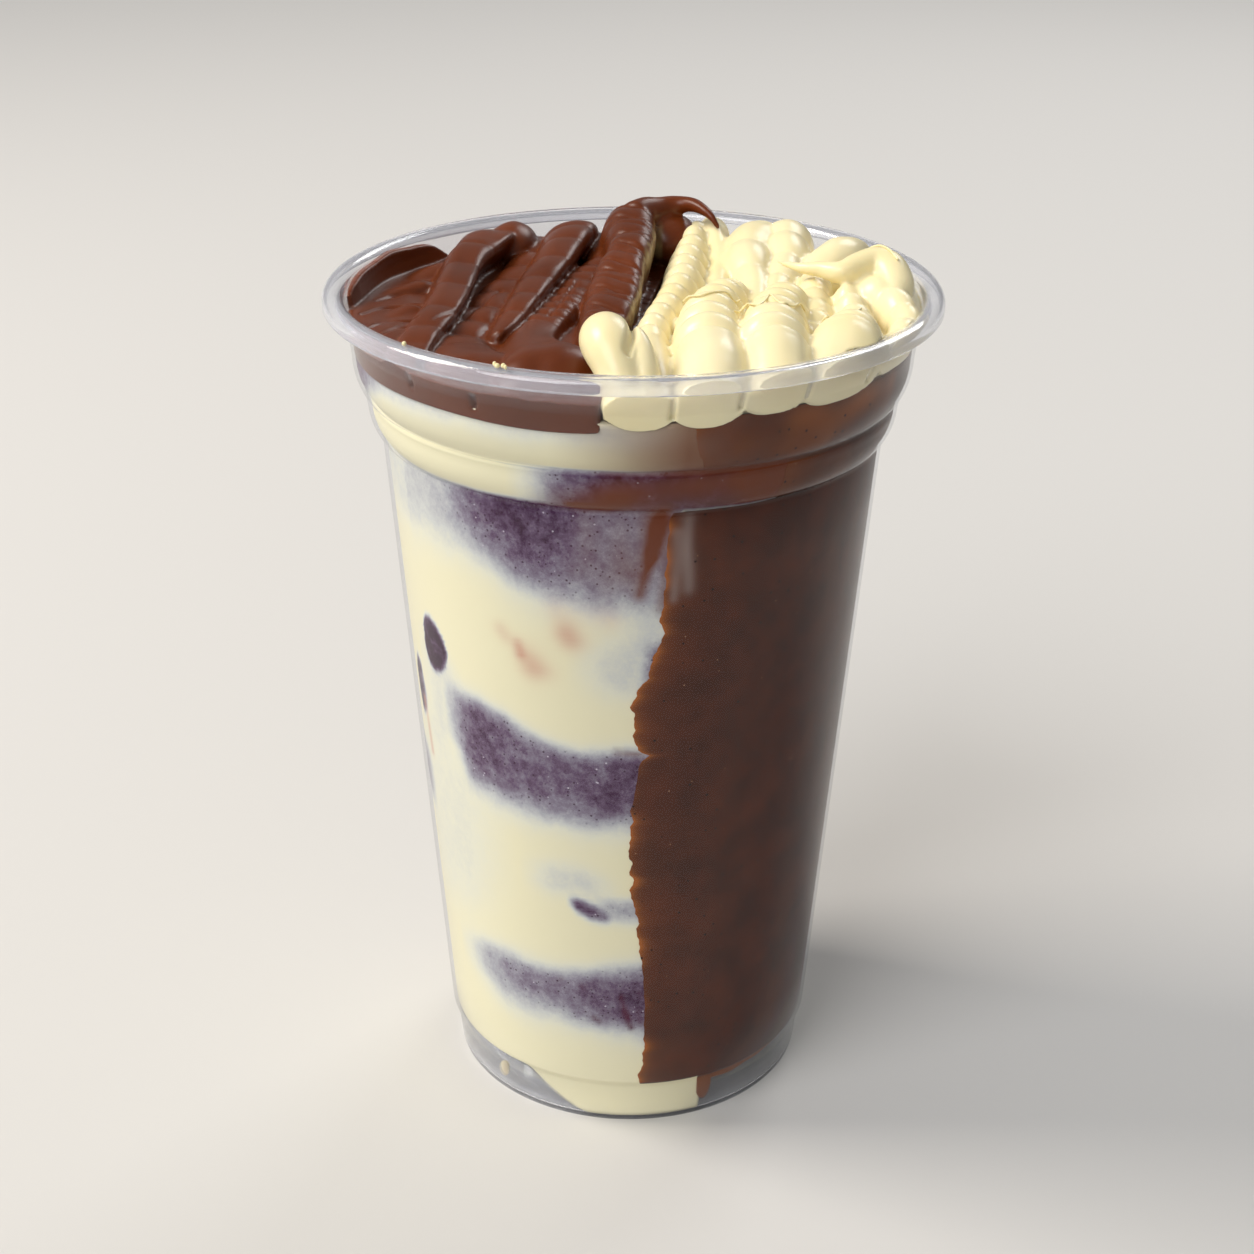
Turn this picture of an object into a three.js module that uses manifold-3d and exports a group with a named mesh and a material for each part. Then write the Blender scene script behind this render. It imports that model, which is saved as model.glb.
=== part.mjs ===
// A clear plastic dessert cup: acai in the middle, cream down the left of the wall and chocolate down
// the right, and on top a half of piped chocolate spread beside a half of piped ivory cream.
// Millimetres, +Z up, origin at the middle of the foot. The front is -Y and +X is to the right.
import * as THREE from "three";
import { mergeVertices } from "three/addons/utils/BufferGeometryUtils.js";
import Module from "manifold-3d";

// ---------------------------------------------------------------- driving dimensions
const RIM_R = 47.5; // outside of the rolled rim
const CUP_H = 136; // foot to rim
const WALL = 0.7; // cup wall
const GAP = 0.3; // clearance between pieces that touch
const SEGMENTS = 36; // facets round the cup
const SLIVER = 0.02; // detail below this is merged after a cut

const FOOT_R = 29.7; // foot ring, outside
const FOOT_ROUND = 0.6;
const FOOT_IN_R = 25.2; // foot ring, inside, under the raised floor
const FOOT_TOP = { r: 30.3, z: 7.3 }; // crease between the foot ring and the body
const FLOOR_UNDER_Z = 3.6; // underside of the raised floor
const FLOOR_SLANT = 0.4; // how far the ring's inner side leans in up to the raised floor
const BODY_LOW = { r: 31.1, z: 8.3 };
const BODY_HIGH = { r: 39.2, z: 113 };
const STEP_CREASE = { r: 39, z: 113.4 }; // stacking step, lower crease
const STEP_TOP = { r: 41.55, z: 119.7 };
const COLLAR_CREASE = { r: 41.2, z: 120.1 }; // stacking step, upper crease
const COLLAR_TOP = { r: 43.7, z: 129.2 };
const FLARE_TOP = { r: 45, z: 132.9 }; // where the collar's flare meets the rim
const RIM_IN_R = FLARE_TOP.r - WALL;
const RIM_UNDER_Z = 133.4;
const RIM_ROUND = 0.9;

const FILL_Z = 126.8; // top of the acai and of the coats on the wall
const COAT = 2.6; // cream and chocolate on the wall, with its clearance
const INTO_ACAI = 1.5; // a coat is drawn this much thicker, then cut back to the acai
const CORNER_Z = 8.4; // the filling leaves the wall here, above the foot ring's channel

const degrees = THREE.MathUtils.degToRad;
const { clamp, lerp, smoothstep } = THREE.MathUtils;

// ---------------------------------------------------------------- the cup's profile

/** Rounded lower edge of a stacking band: part of an ellipse that swings from outward to upward. */
function bandRound(low, high, steps) {
  const start = degrees(30);
  return Array.from({ length: steps + 1 }, (_, i) => {
    const a = lerp(start, Math.PI / 2, i / steps);
    const out = (Math.sin(a) - Math.sin(start)) / (1 - Math.sin(start));
    const up = (Math.cos(start) - Math.cos(a)) / Math.cos(start);
    return new THREE.Vector2(lerp(low.r, high.r, out), lerp(low.z, high.z, up));
  });
}

/** Quarter round between two directions, about a centre. */
function corner(r, z, radius, from, to, steps) {
  return Array.from({ length: steps + 1 }, (_, i) => {
    const a = degrees(lerp(from, to, i / steps));
    return new THREE.Vector2(r + radius * Math.cos(a), z + radius * Math.sin(a));
  });
}

const stepShoulder = { r: STEP_TOP.r - 0.3, z: STEP_CREASE.z + 5 };
const collarShoulder = { r: COLLAR_TOP.r - 0.35, z: COLLAR_CREASE.z + 6 };
const outside = [
  ...corner(FOOT_R - FOOT_ROUND, FOOT_ROUND, FOOT_ROUND, -90, 0, 2),
  new THREE.Vector2(FOOT_TOP.r, FOOT_TOP.z),
  new THREE.Vector2(BODY_LOW.r, BODY_LOW.z),
  new THREE.Vector2(BODY_HIGH.r, BODY_HIGH.z),
  ...bandRound(STEP_CREASE, stepShoulder, 3),
  new THREE.Vector2(STEP_TOP.r, STEP_TOP.z),
  ...bandRound(COLLAR_CREASE, collarShoulder, 3),
  new THREE.Vector2(COLLAR_TOP.r, COLLAR_TOP.z),
  new THREE.Vector2(FLARE_TOP.r, FLARE_TOP.z),
];

/** Radius of the wall's inner face at a height, up to the rim. */
function insideRadius(z) {
  const next = outside.findIndex((p) => p.y >= z);
  if (next < 0) return RIM_IN_R;
  if (next === 0) return outside[0].x - WALL;
  const [a, b] = [outside[next - 1], outside[next]];
  return Math.min(lerp(a.x, b.x, (z - a.y) / (b.y - a.y)) - WALL, RIM_IN_R);
}

function cupProfile() {
  const rimTop = CUP_H - RIM_ROUND;
  const rim = [
    ...corner(RIM_R - RIM_ROUND, RIM_UNDER_Z + RIM_ROUND, RIM_ROUND, -90, 0, 2),
    ...corner(RIM_R - RIM_ROUND, rimTop, RIM_ROUND, 0, 90, 2),
    ...corner(RIM_IN_R + RIM_ROUND, rimTop, RIM_ROUND, 90, 180, 2),
  ];
  const inside = outside
    .filter((p) => p.y > WALL && p.y < FLARE_TOP.z)
    .map((p) => new THREE.Vector2(insideRadius(p.y), p.y))
    .reverse();
  const punt = FOOT_IN_R + WALL; // the channel's inner side
  return [
    ...outside,
    ...rim,
    new THREE.Vector2(RIM_IN_R, FLARE_TOP.z),
    ...inside,
    new THREE.Vector2(FOOT_R - WALL, WALL + FOOT_ROUND),
    new THREE.Vector2(FOOT_R - WALL - FOOT_ROUND, WALL),
    new THREE.Vector2(punt, WALL),
    new THREE.Vector2(punt - FLOOR_SLANT, FLOOR_UNDER_Z + WALL),
    new THREE.Vector2(0, FLOOR_UNDER_Z + WALL),
    new THREE.Vector2(0, FLOOR_UNDER_Z),
    new THREE.Vector2(FOOT_IN_R - FLOOR_SLANT, FLOOR_UNDER_Z),
    new THREE.Vector2(FOOT_IN_R, 0),
    new THREE.Vector2(FOOT_R - FOOT_ROUND, 0),
  ];
}

// ---------------------------------------------------------------- closed surfaces from loops

/** A flat end: a fan about the middle, or a strip where the loop is an outer and an inner arc. */
function endTriangles(first, count, strip, centre) {
  const triangles = [];
  if (strip)
    for (let i = 0; i + 1 < count / 2; i++) {
      const [a, b] = [first + i, first + i + 1];
      const [c, d] = [first + count - 1 - i, first + count - 2 - i];
      triangles.push([b, a, c], [b, c, d]);
    }
  else
    for (let i = 0; i < count; i++) triangles.push([first + ((i + 1) % count), first + i, centre]);
  return triangles;
}

/** Closed surface through a stack of loops with equal counts, seen anticlockwise from the last one. */
function stackedLoops(loops, strip = false) {
  const count = loops[0].length;
  const index = [];
  for (let k = 0; k + 1 < loops.length; k++)
    for (let i = 0; i < count; i++) {
      const a = k * count + i;
      const b = k * count + ((i + 1) % count);
      index.push(a, b, b + count, a, b + count, a + count);
    }
  const points = loops.flat();
  for (const end of [0, loops.length - 1]) {
    const sum = loops[end].reduce((total, p) => total.add(p), new THREE.Vector3());
    for (const t of endTriangles(end * count, count, strip, points.length))
      index.push(...(end ? t.toReversed() : t));
    if (!strip) points.push(sum.divideScalar(count));
  }
  return new THREE.BufferGeometry().setFromPoints(points).setIndex(index);
}

/** Point on a circle about the cup's axis; the angle is from the front, positive to the right. */
function onCircle(angle, r, z) {
  return new THREE.Vector3(r * Math.sin(degrees(angle)), -r * Math.cos(degrees(angle)), z);
}

/** Round tube along a smooth path; each station is [x, y, z, radius], and both ends are domed. */
function tube(stations, steps, sides) {
  const [tip, bluntness] = [0.02, 12]; // share of the length that stays open at an end, and its dome's power
  const path = new THREE.CatmullRomCurve3(stations.map(([x, y, z]) => new THREE.Vector3(x, y, z)));
  const size = new THREE.CatmullRomCurve3(stations.map((s, i) => new THREE.Vector3(i, s[3], 0)));
  const frames = path.computeFrenetFrames(steps);
  const loops = [];
  for (let k = 0; k <= steps; k++) {
    const t = k / steps;
    const ends = Math.sqrt(1 - Math.abs(2 * clamp(t, tip, 1 - tip) - 1) ** bluntness);
    const middle = path.getPoint(t);
    const radius = size.getPoint(t).y * ends;
    loops.push(
      Array.from({ length: sides }, (_, i) => {
        const a = (2 * Math.PI * i) / sides;
        return middle
          .clone()
          .addScaledVector(frames.normals[k], radius * Math.cos(a))
          .addScaledVector(frames.binormals[k], radius * Math.sin(a));
      }),
    );
  }
  return stackedLoops(loops);
}

// ---------------------------------------------------------------- joining and cutting

const wasm = await Module();
wasm.setup();

function solid(geometry) {
  const bare = geometry.clone();
  bare.deleteAttribute("normal");
  bare.deleteAttribute("uv");
  const merged = mergeVertices(bare, 1e-4);
  return new wasm.Manifold(
    new wasm.Mesh({
      numProp: 3,
      vertProperties: merged.attributes.position.array,
      triVerts: new Uint32Array(merged.index.array),
    }),
  );
}

/** Geometry of a solid's largest body, without the loose scraps and the slivers that a cut leaves. */
function geometryOf(cut) {
  const body = cut.decompose().reduce((a, b) => (a.volume() > b.volume() ? a : b));
  const { vertProperties, triVerts } = body.simplify(SLIVER).getMesh();
  return new THREE.BufferGeometry()
    .setAttribute("position", new THREE.BufferAttribute(vertProperties, 3))
    .setIndex(new THREE.BufferAttribute(triVerts, 1));
}

// ---------------------------------------------------------------- the filling in the cup

// Bands where the acai pushes the cream aside and meets the wall: angles from the front in degrees,
// with the band's middle height and half height at its first and its last angle.
const ACAI_BANDS = [
  { from: -20, to: 36, middle: [117, 117.5], half: [3, 3] },
  { from: -44, to: 13, middle: [108, 104], half: [4, 7] },
  { from: -63, to: -50, middle: [85, 82], half: [4.5, 3.5] },
  { from: -50, to: 7, middle: [76, 66], half: [4, 7] },
  { from: -53, to: 10, middle: [30, 25], half: [3, 8] },
  { from: -170, to: -92, middle: [92, 98], half: [6, 5] },
  { from: -182, to: -84, middle: [52, 58], half: [6, 5] },
];
const BAND_EDGE = 3.2; // height over which the acai comes out to the wall
const BAND_END = 6; // the same round the cup, in degrees

// Height and angle of the line between cream and chocolate, at the front and at the back.
const FRONT_LINE = [
  [8.4, 5], [22, 6.4], [36, 4.5], [52, 2], [58, 1.2], [72, 3.6], [84, 3.2], [92, 8.4], [106, 9], [128, 12],
];
const BACK_LINE = [
  [8.4, 183], [30, 179], [55, 184], [80, 181], [104, 176], [128, 180],
];

function along(line, z) {
  const next = clamp(line.findIndex(([height]) => height >= z), 1, line.length - 1);
  const [a, b] = [line[next - 1], line[next]];
  return lerp(a[1], b[1], clamp((z - a[0]) / (b[0] - a[0]), 0, 1));
}

/** How far the acai comes out through the coat, from 0 behind it to 1 at the wall. */
function acaiShows(angle, z) {
  let most = 0;
  for (const { from, to, middle, half } of ACAI_BANDS)
    for (const turn of [-360, 0, 360]) {
      const a = angle + turn;
      const t = clamp((a - from) / (to - from), 0, 1);
      const height = lerp(middle[0], middle[1], t);
      const reach = lerp(half[0], half[1], t);
      const across = 1 - smoothstep(Math.abs(z - height), reach - BAND_EDGE / 2, reach + BAND_EDGE / 2);
      const round = smoothstep(a, from, from + BAND_END) * (1 - smoothstep(a, to - BAND_END, to));
      most = Math.max(most, across * round);
    }
  return most;
}

// Heights of the acai's rows, closer where a band's edge or a stacking step is, and the angles of its
// columns, closer at the front, where the bands show.
const FILL_ROWS = [
  CORNER_Z, 16, 20, 25, 31, 37, 46, 50, 55, 60, 63, 67, 72, 76, 80, 84, 90, 96, 100, 106, 112.2,
  113.3, 115, 118.4, 120.2, 122, FILL_Z,
];
const CORE_ANGLES = [
  ...Array.from({ length: 20 }, (_, i) => lerp(-100, 34, i / 19)),
  ...Array.from({ length: 12 }, (_, i) => lerp(50, 243, i / 11)),
];

function coreGeometry(grow) {
  const floor = FLOOR_UNDER_Z + WALL + GAP;
  const loop = (z, radius) => CORE_ANGLES.map((angle) => onCircle(angle, radius(angle), z));
  return stackedLoops([
    loop(floor - grow, () => FOOT_IN_R - WALL - GAP + grow),
    ...FILL_ROWS.map((z) =>
      loop(z === FILL_Z ? z + grow : z, (angle) => {
        const coat = COAT * (1 - acaiShows(angle, z));
        return insideRadius(z) - GAP - coat + grow;
      }),
    ),
  ]);
}

/** Shell against the wall between two lines, thick enough to reach into the acai. */
function wallShell(first, last, rows, columns, thick = COAT + INTO_ACAI) {
  const loops = rows.map((z) => {
    const outer = insideRadius(z) - GAP;
    const spread = THREE.MathUtils.radToDeg(GAP / 2 / outer);
    const angles = Array.from({ length: columns + 1 }, (_, i) =>
      lerp(first(z) + spread, last(z) - spread, i / columns),
    );
    return [
      ...angles.map((a) => onCircle(a, outer, z)),
      ...angles.toReversed().map((a) => onCircle(a, outer - thick, z)),
    ];
  });
  return stackedLoops(loops, true);
}

const frontLine = (z) => along(FRONT_LINE, z);
const backLine = (z) => along(BACK_LINE, z);
const LINE_ROWS = [CORNER_Z, 22, 36, 55, 72, 84, 92, 112.8, 113.3, 115, 119.6, 120.2, 122, FILL_Z];

// The cream also runs down into the channel above the foot ring, at the front only: its first and last
// angle at the channel's bottom and at its top, and those heights.
const CHANNEL = { from: [-12, -32], to: [25, 27], low: WALL + 2 * GAP, high: 7.9 };
const NECK = { low: 7.5, high: 10 }; // where the channel's cream joins the cream above it

function creamCoat(core) {
  const sheet = wallShell((z) => backLine(z) - 360, frontLine, LINE_ROWS, 13);
  const channelSide = (pair) => (z) =>
    lerp(pair[0], pair[1], clamp((z - CHANNEL.low) / (CHANNEL.high - CHANNEL.low), 0, 1));
  const width = FOOT_R - WALL - GAP - (FOOT_IN_R + WALL + GAP);
  const [left, right] = [channelSide(CHANNEL.from), channelSide(CHANNEL.to)];
  const channelRows = [CHANNEL.low, FOOT_TOP.z, CHANNEL.high];
  const channel = wallShell(left, right, channelRows, 6, width - FLOOR_SLANT);
  const neck = wallShell(() => CHANNEL.from[1], frontLine, [NECK.low, CORNER_Z, NECK.high], 5, width);
  return geometryOf(solid(sheet).add(solid(channel)).add(solid(neck)).subtract(core));
}

function chocolateCoat(core) {
  return geometryOf(solid(wallShell(frontLine, backLine, LINE_ROWS, 13)).subtract(core));
}

// ---------------------------------------------------------------- the topping

// Piped ropes run side by side from the front wall to the back wall. Each line below is a crest or
// the crease beside it: its x, then its height, each at the front, in the middle and at the back.
const TOPPING_Z = FILL_Z + GAP;
const TOPPING_R = 43.7;
const CHOCOLATE_LINES = [
  { x: [-43.4, -43.4, -43.4], z: [131.6, 131, 131.4] },
  { x: [-39, -38, -37.5], z: [132, 131.2, 131.8] }, // sunken pool
  { x: [-36.5, -33.6, -31], z: [131.4, 130.6, 131.4] },
  { x: [-33, -30.4, -26.5], z: [133.4, 134.4, 137] }, // left rope
  { x: [-29.5, -26.6, -21.5], z: [131, 130.6, 132.6] },
  { x: [-25, -21.8, -17], z: [134.4, 133.2, 135.4] }, // low rope
  { x: [-21, -19.4, -14.5], z: [132, 131.6, 134] },
  { x: [-19.5, -16.2, -9.6], z: [135, 134.6, 138.6] }, // middle rope
  { x: [-16.8, -12.4, -6.6], z: [132, 131.4, 134.6] },
  { x: [-14.2, -9.4, -4.8], z: [135.2, 133.6, 137] }, // pleated rope
  { x: [-11.6, -7, -3.6], z: [134.4, 132.8, 137.6] },
  { x: [-8.8, -3, -0.4], z: [135, 136.6, 141.6] }, // tall rope
  { x: [-3.8, 1.4, 3.4], z: [132.2, 133.4, 137] },
];
const CREAM_LINES = [
  { x: [-3, 2.2, 4.2], z: [131.6, 132, 134.6] },
  { x: [1.2, 5, 8.8], z: [135, 134.8, 138] },
  { x: [5.4, 8.8, 11.4], z: [132.4, 132.8, 135.4] },
  { x: [11.6, 13.6, 14.8], z: [139.4, 136.6, 138.6] },
  { x: [17, 18.2, 17.8], z: [133, 133.4, 135.8] },
  { x: [20.8, 23, 22.6], z: [140, 138, 140] },
  { x: [25.8, 27.4, 27.6], z: [133, 134, 136.2] },
  { x: [31, 32.4, 32.6], z: [139.4, 137, 139.6] },
  { x: [35.8, 37, 36.6], z: [133.6, 134, 136] },
  { x: [39.4, 40.4, 39.4], z: [136.4, 137, 138.4] },
  { x: [43.4, 43.4, 43.4], z: [133.6, 134, 134.6] },
];
// Columns between a crease and the next crest, and between a crest and the next crease, as shares of
// the way: closer to the crease, where a rope is steep.
const RISING = [0, 0.25, 0.6];
const FALLING = [0, 0.4, 0.75];
const END_LENGTH = 0.2; // the ropes round off to the wall over this share of their half length
const END_Z = 132.6; // where they meet the wall at the front and the back

/** Smooth curve through a value at the front, in the middle and at the back, for t from -1 to 1. */
function bow([front, middle, back], t) {
  return middle + (t * (back - front)) / 2 + t * t * ((front + back) / 2 - middle);
}

/** Height across half a rope: an ellipse that rises steeply from the crease and is level at the crest. */
const ellipse = (s) => Math.sqrt(1 - (1 - s) * (1 - s));

/** A point of the ropes' surface: place counts creases and crests, t runs from the front wall to the back. */
function ropePoint(lines, place, t, pleats) {
  const k = Math.min(Math.floor(place), lines.length - 2);
  const part = place - k;
  const rising = k % 2 === 0;
  const s = rising ? part : 1 - part;
  const [crease, crest] = rising ? [lines[k], lines[k + 1]] : [lines[k + 1], lines[k]];
  const x = lerp(bow(lines[k].x, t), bow(lines[k + 1].x, t), part);
  const end = clamp((Math.abs(t) - 1 + END_LENGTH) / END_LENGTH, 0, 1);
  const ripple = pleats.depth * (Math.abs(Math.sin((t * pleats.count * Math.PI) / 2 + k)) - 1);
  const low = bow(crease.z, t);
  const high = lerp(low, bow(crest.z, t) + ripple * (1 - end), ellipse(s));
  const z = lerp(high, Math.min(high, END_Z), 1 - Math.sqrt(1 - end * end));
  const fit = Math.min(1, (insideRadius(z) - GAP) / TOPPING_R);
  return new THREE.Vector3(x * fit, t * Math.sqrt(TOPPING_R ** 2 - x * x) * fit, z);
}

/** Block whose top is the ropes' surface and whose side follows the cup's wall down to the filling. */
function ropes(lines, rows, pleats) {
  const places = [];
  for (let k = 0; k + 1 < lines.length; k++)
    places.push(...(k % 2 ? FALLING : RISING).map((share) => k + share));
  places.push(lines.length - 1);
  const top = places.map((place) =>
    Array.from({ length: rows + 1 }, (_, j) => ropePoint(lines, place, (2 * j) / rows - 1, pleats)),
  );
  const columns = places.length;
  const points = top.flat();
  const at = (i, j) => i * (rows + 1) + j;
  const index = [];
  for (let i = 0; i + 1 < columns; i++)
    for (let j = 0; j < rows; j++)
      index.push(at(i, j), at(i + 1, j), at(i + 1, j + 1), at(i, j), at(i + 1, j + 1), at(i, j + 1));
  const rim = [
    ...Array.from({ length: columns }, (_, i) => at(i, 0)),
    ...Array.from({ length: rows - 1 }, (_, j) => at(columns - 1, j + 1)),
    ...Array.from({ length: columns }, (_, i) => at(columns - 1 - i, rows)),
    ...Array.from({ length: rows - 1 }, (_, j) => at(0, rows - 1 - j)),
  ];
  let upper = rim;
  for (const z of [COLLAR_TOP.z, TOPPING_Z]) {
    const lower = rim.map((id) => {
      const p = points[id];
      const fit = (insideRadius(z) - GAP) / Math.min(TOPPING_R, insideRadius(p.z) - GAP);
      return points.push(new THREE.Vector3(p.x * fit, p.y * fit, z)) - 1;
    });
    upper.forEach((a, i) => {
      const b = upper[(i + 1) % rim.length];
      const [c, d] = [lower[i], lower[(i + 1) % rim.length]];
      index.push(a, c, d, a, d, b);
    });
    upper = lower;
  }
  const flat = upper.map((id) => new THREE.Vector2(points[id].x, points[id].y));
  for (const [a, b, c] of THREE.ShapeUtils.triangulateShape(flat, []))
    index.push(upper[c], upper[b], upper[a]);
  return new THREE.BufferGeometry().setFromPoints(points).setIndex(index);
}

// The tall rope's end, drawn off over the cream beside it and fallen in a thin thread.
const TAIL = [
  [-1.6, 26, 138.5, 3],
  [1.4, 30.5, 139.6, 2.4],
  [5, 33.4, 140.4, 1.5],
  [8.6, 34.6, 141, 1],
  [11.2, 34.4, 140.4, 0.8],
  [12.6, 34, 139.4, 0.5],
];

function chocolateTopping() {
  const smooth = { count: 0, depth: 0 };
  const base = ropes(CHOCOLATE_LINES, 20, smooth);
  return geometryOf(solid(base).add(solid(tube(TAIL, 14, 8))));
}

// The first rope of cream, curled over against the wall at the front, where the piping began.
const CURL = [
  [0.8, -38, 131, 2.4],
  [0.4, -38, 134.6, 2.8],
  [-1.6, -36.6, 138.2, 3.8],
  [0.4, -34.6, 138.6, 3.4],
  [2.4, -35, 135.6, 2.6],
];
// The last of the cream, drawn off in a hook at the right, where the piping ended.
const HOOK = [
  [23.4, 6, 138.3, 0.6],
  [28.6, 4, 139, 1.4],
  [33.6, 5, 140, 2.3],
  [38, 7.4, 140.2, 2.6],
  [41, 4, 138.6, 2.7],
  [40.8, -4, 136.4, 2.6],
];

function creamTopping() {
  const pleats = { count: 12, depth: 0.7 };
  const base = ropes(CREAM_LINES, 24, pleats);
  const curl = tube(CURL, 12, 12);
  const hook = tube(HOOK, 16, 10);
  return geometryOf(solid(base).add(solid(curl)).add(solid(hook)));
}

// ---------------------------------------------------------------- the whole

function piece(name, geometry, colour, roughness) {
  geometry.computeVertexNormals();
  const mesh = new THREE.Mesh(
    geometry,
    new THREE.MeshStandardMaterial({ color: colour, roughness, metalness: 0 }),
  );
  mesh.name = name;
  return mesh;
}

function cup() {
  const profile = cupProfile();
  const lathe = new THREE.LatheGeometry(profile, SEGMENTS);
  return lathe.rotateX(Math.PI / 2);
}

const part = new THREE.Group();
part.name = "acai_cup";
const grownCore = solid(coreGeometry(GAP));
part.add(
  piece("cup", cup(), "#dfe3e6", 0.08),
  piece("acai_core", coreGeometry(0), "#4b3550", 0.4),
  piece("cream_coat", creamCoat(grownCore), "#efe6b4", 0.35),
  piece("chocolate_coat", chocolateCoat(grownCore), "#3f1808", 0.3),
  piece("chocolate_topping", chocolateTopping(), "#6b3018", 0.35),
  piece("cream_topping", creamTopping(), "#f6eeb8", 0.35),
);

export default part;
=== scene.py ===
"""A clear plastic dessert cup filled with acai, cream and chocolate, under piped spread and ivory cream.

Sizes are in millimetres and become metres in the mesh. +Z is up, the front is -Y, and an angle round
the cup is in degrees from the front, positive to the right.
"""
import math

import bmesh
import bpy
import numpy as np
from mathutils import Matrix


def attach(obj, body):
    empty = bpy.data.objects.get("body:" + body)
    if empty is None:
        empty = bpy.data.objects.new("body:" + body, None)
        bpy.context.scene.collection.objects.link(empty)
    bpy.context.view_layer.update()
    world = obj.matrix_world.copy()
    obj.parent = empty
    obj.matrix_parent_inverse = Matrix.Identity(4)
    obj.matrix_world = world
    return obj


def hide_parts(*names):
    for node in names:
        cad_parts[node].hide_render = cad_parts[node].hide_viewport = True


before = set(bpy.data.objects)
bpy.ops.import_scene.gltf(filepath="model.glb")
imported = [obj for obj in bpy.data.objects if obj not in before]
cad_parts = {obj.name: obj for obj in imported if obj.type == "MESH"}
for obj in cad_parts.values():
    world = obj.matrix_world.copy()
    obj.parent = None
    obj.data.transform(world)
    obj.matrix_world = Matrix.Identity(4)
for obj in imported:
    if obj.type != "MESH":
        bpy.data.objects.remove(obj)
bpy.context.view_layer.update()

# ---------------------------------------------------------------------------- the cup
# A disposable cup, thermoformed from a clear plastic sheet and trimmed under its rolled rim. The collar and
# the step above the tapered body let it stack, and the floor is raised inside the foot ring.

MM = 0.001
RIM_R = 47.5
CUP_H = 136.0
WALL = 0.7
CUP_COLUMNS = 192

FOOT_R, FOOT_ROUND, FOOT_IN_R = 29.7, 0.6, 25.2
FLOOR_UNDER_Z, FLOOR_SLANT = 3.6, 0.4
# Radius and height of the outside, from the foot ring up to the flare under the rim.
CREASE_LOW = [(30.3, 7.3), (31.1, 8.3)]
BODY_TOP = (39.2, 113.0)
STEP_CREASE, STEP_TOP = (39.0, 113.4), (41.55, 119.7)
COLLAR_CREASE, COLLAR_TOP = (41.2, 120.1), (43.7, 129.2)
# Where the rounded lower edge of the step and of the collar ends.
STEP_SHOULDER, COLLAR_SHOULDER = (41.25, 118.4), (43.35, 126.1)
FLARE_TOP = (45.0, 132.9)
RIM_UNDER_Z, RIM_IN_R = 133.4, 44.3


def arc(r, z, radius, start, end, steps=8):
    """Points on a circle about (r, z), from one angle in degrees to another."""
    a = np.radians(np.linspace(start, end, steps))
    return np.stack([r + radius * np.cos(a), z + radius * np.sin(a)], 1)


def band_round(low, high, steps=10):
    """Rounded lower edge of a stacking band: an ellipse's last 60 degrees, scaled to run from low to high."""
    first = math.radians(30)
    a = np.linspace(first, math.pi / 2, steps)
    out = (np.sin(a) - math.sin(first)) / (1 - math.sin(first))
    up = (math.cos(first) - np.cos(a)) / math.cos(first)
    return np.stack([low[0] + out * (high[0] - low[0]), low[1] + up * (high[1] - low[1])], 1)


body_rows = np.linspace(0, 1, 12)[:, None]
outside = np.concatenate([
    arc(FOOT_R - FOOT_ROUND, FOOT_ROUND, FOOT_ROUND, -90, 0, 5),
    CREASE_LOW,
    np.array(CREASE_LOW[1]) + body_rows[1:] * (np.array(BODY_TOP) - CREASE_LOW[1]),
    band_round(STEP_CREASE, STEP_SHOULDER),
    [STEP_TOP],
    band_round(COLLAR_CREASE, COLLAR_SHOULDER),
    [COLLAR_TOP, FLARE_TOP],
])


def inside(z):
    """Radius of the wall's inner face at a height: the outside's radius less the wall, up to the rim."""
    return np.minimum(np.interp(z, outside[:, 1], outside[:, 0]) - WALL, RIM_IN_R)


# The rim is the sheet's edge, rolled outwards and down, and open below. Its inner face comes first.
roll_r = (RIM_R - RIM_IN_R) / 2
roll_middle = (RIM_IN_R + RIM_R) / 2
curl = np.concatenate([
    [(FLARE_TOP[0] + 0.05, CUP_H - roll_r - 0.3)],
    arc(roll_middle, CUP_H - roll_r, roll_r - WALL, 175, 10, 9),
    [(RIM_R - WALL, RIM_UNDER_Z + 0.4)],
    arc(RIM_R - WALL / 2, RIM_UNDER_Z + WALL / 2, WALL / 2, 200, 340, 6),
    arc(roll_middle, CUP_H - roll_r, roll_r, -5, 180, 14),
])
inner_z = outside[(outside[:, 1] > WALL + FOOT_ROUND) & (outside[:, 1] < FLARE_TOP[1]), 1][::-1]
punt = FOOT_IN_R + WALL
cup_profile = np.concatenate([
    outside,
    curl,
    [(RIM_IN_R, FLARE_TOP[1])],
    np.stack([inside(inner_z), inner_z], 1),
    arc(FOOT_R - WALL - FOOT_ROUND, WALL + FOOT_ROUND, FOOT_ROUND, 0, -90, 4),
    [(punt, WALL), (punt - FLOOR_SLANT, FLOOR_UNDER_Z + WALL), (0, FLOOR_UNDER_Z + WALL)],
    [(0, FLOOR_UNDER_Z), (FOOT_IN_R - FLOOR_SLANT, FLOOR_UNDER_Z), (FOOT_IN_R, 0)],
])


def on_circle(angle, r, z):
    """Points at an angle from the front, a radius and a height: (r sin a, -r cos a, z), as arrays."""
    a = np.radians(angle)
    return np.stack(np.broadcast_arrays(r * np.sin(a), -r * np.cos(a), z), -1)


def grid_faces(rows, columns, wrap):
    """Quads of a grid of points numbered row by row; with wrap, the last column meets the first."""
    i, j = np.meshgrid(np.arange(rows - 1), np.arange(columns if wrap else columns - 1), indexing="ij")
    a, b = i * columns + j, i * columns + (j + 1) % columns
    return np.stack([a, b, b + columns, a + columns], -1).reshape(-1, 4)


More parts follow.
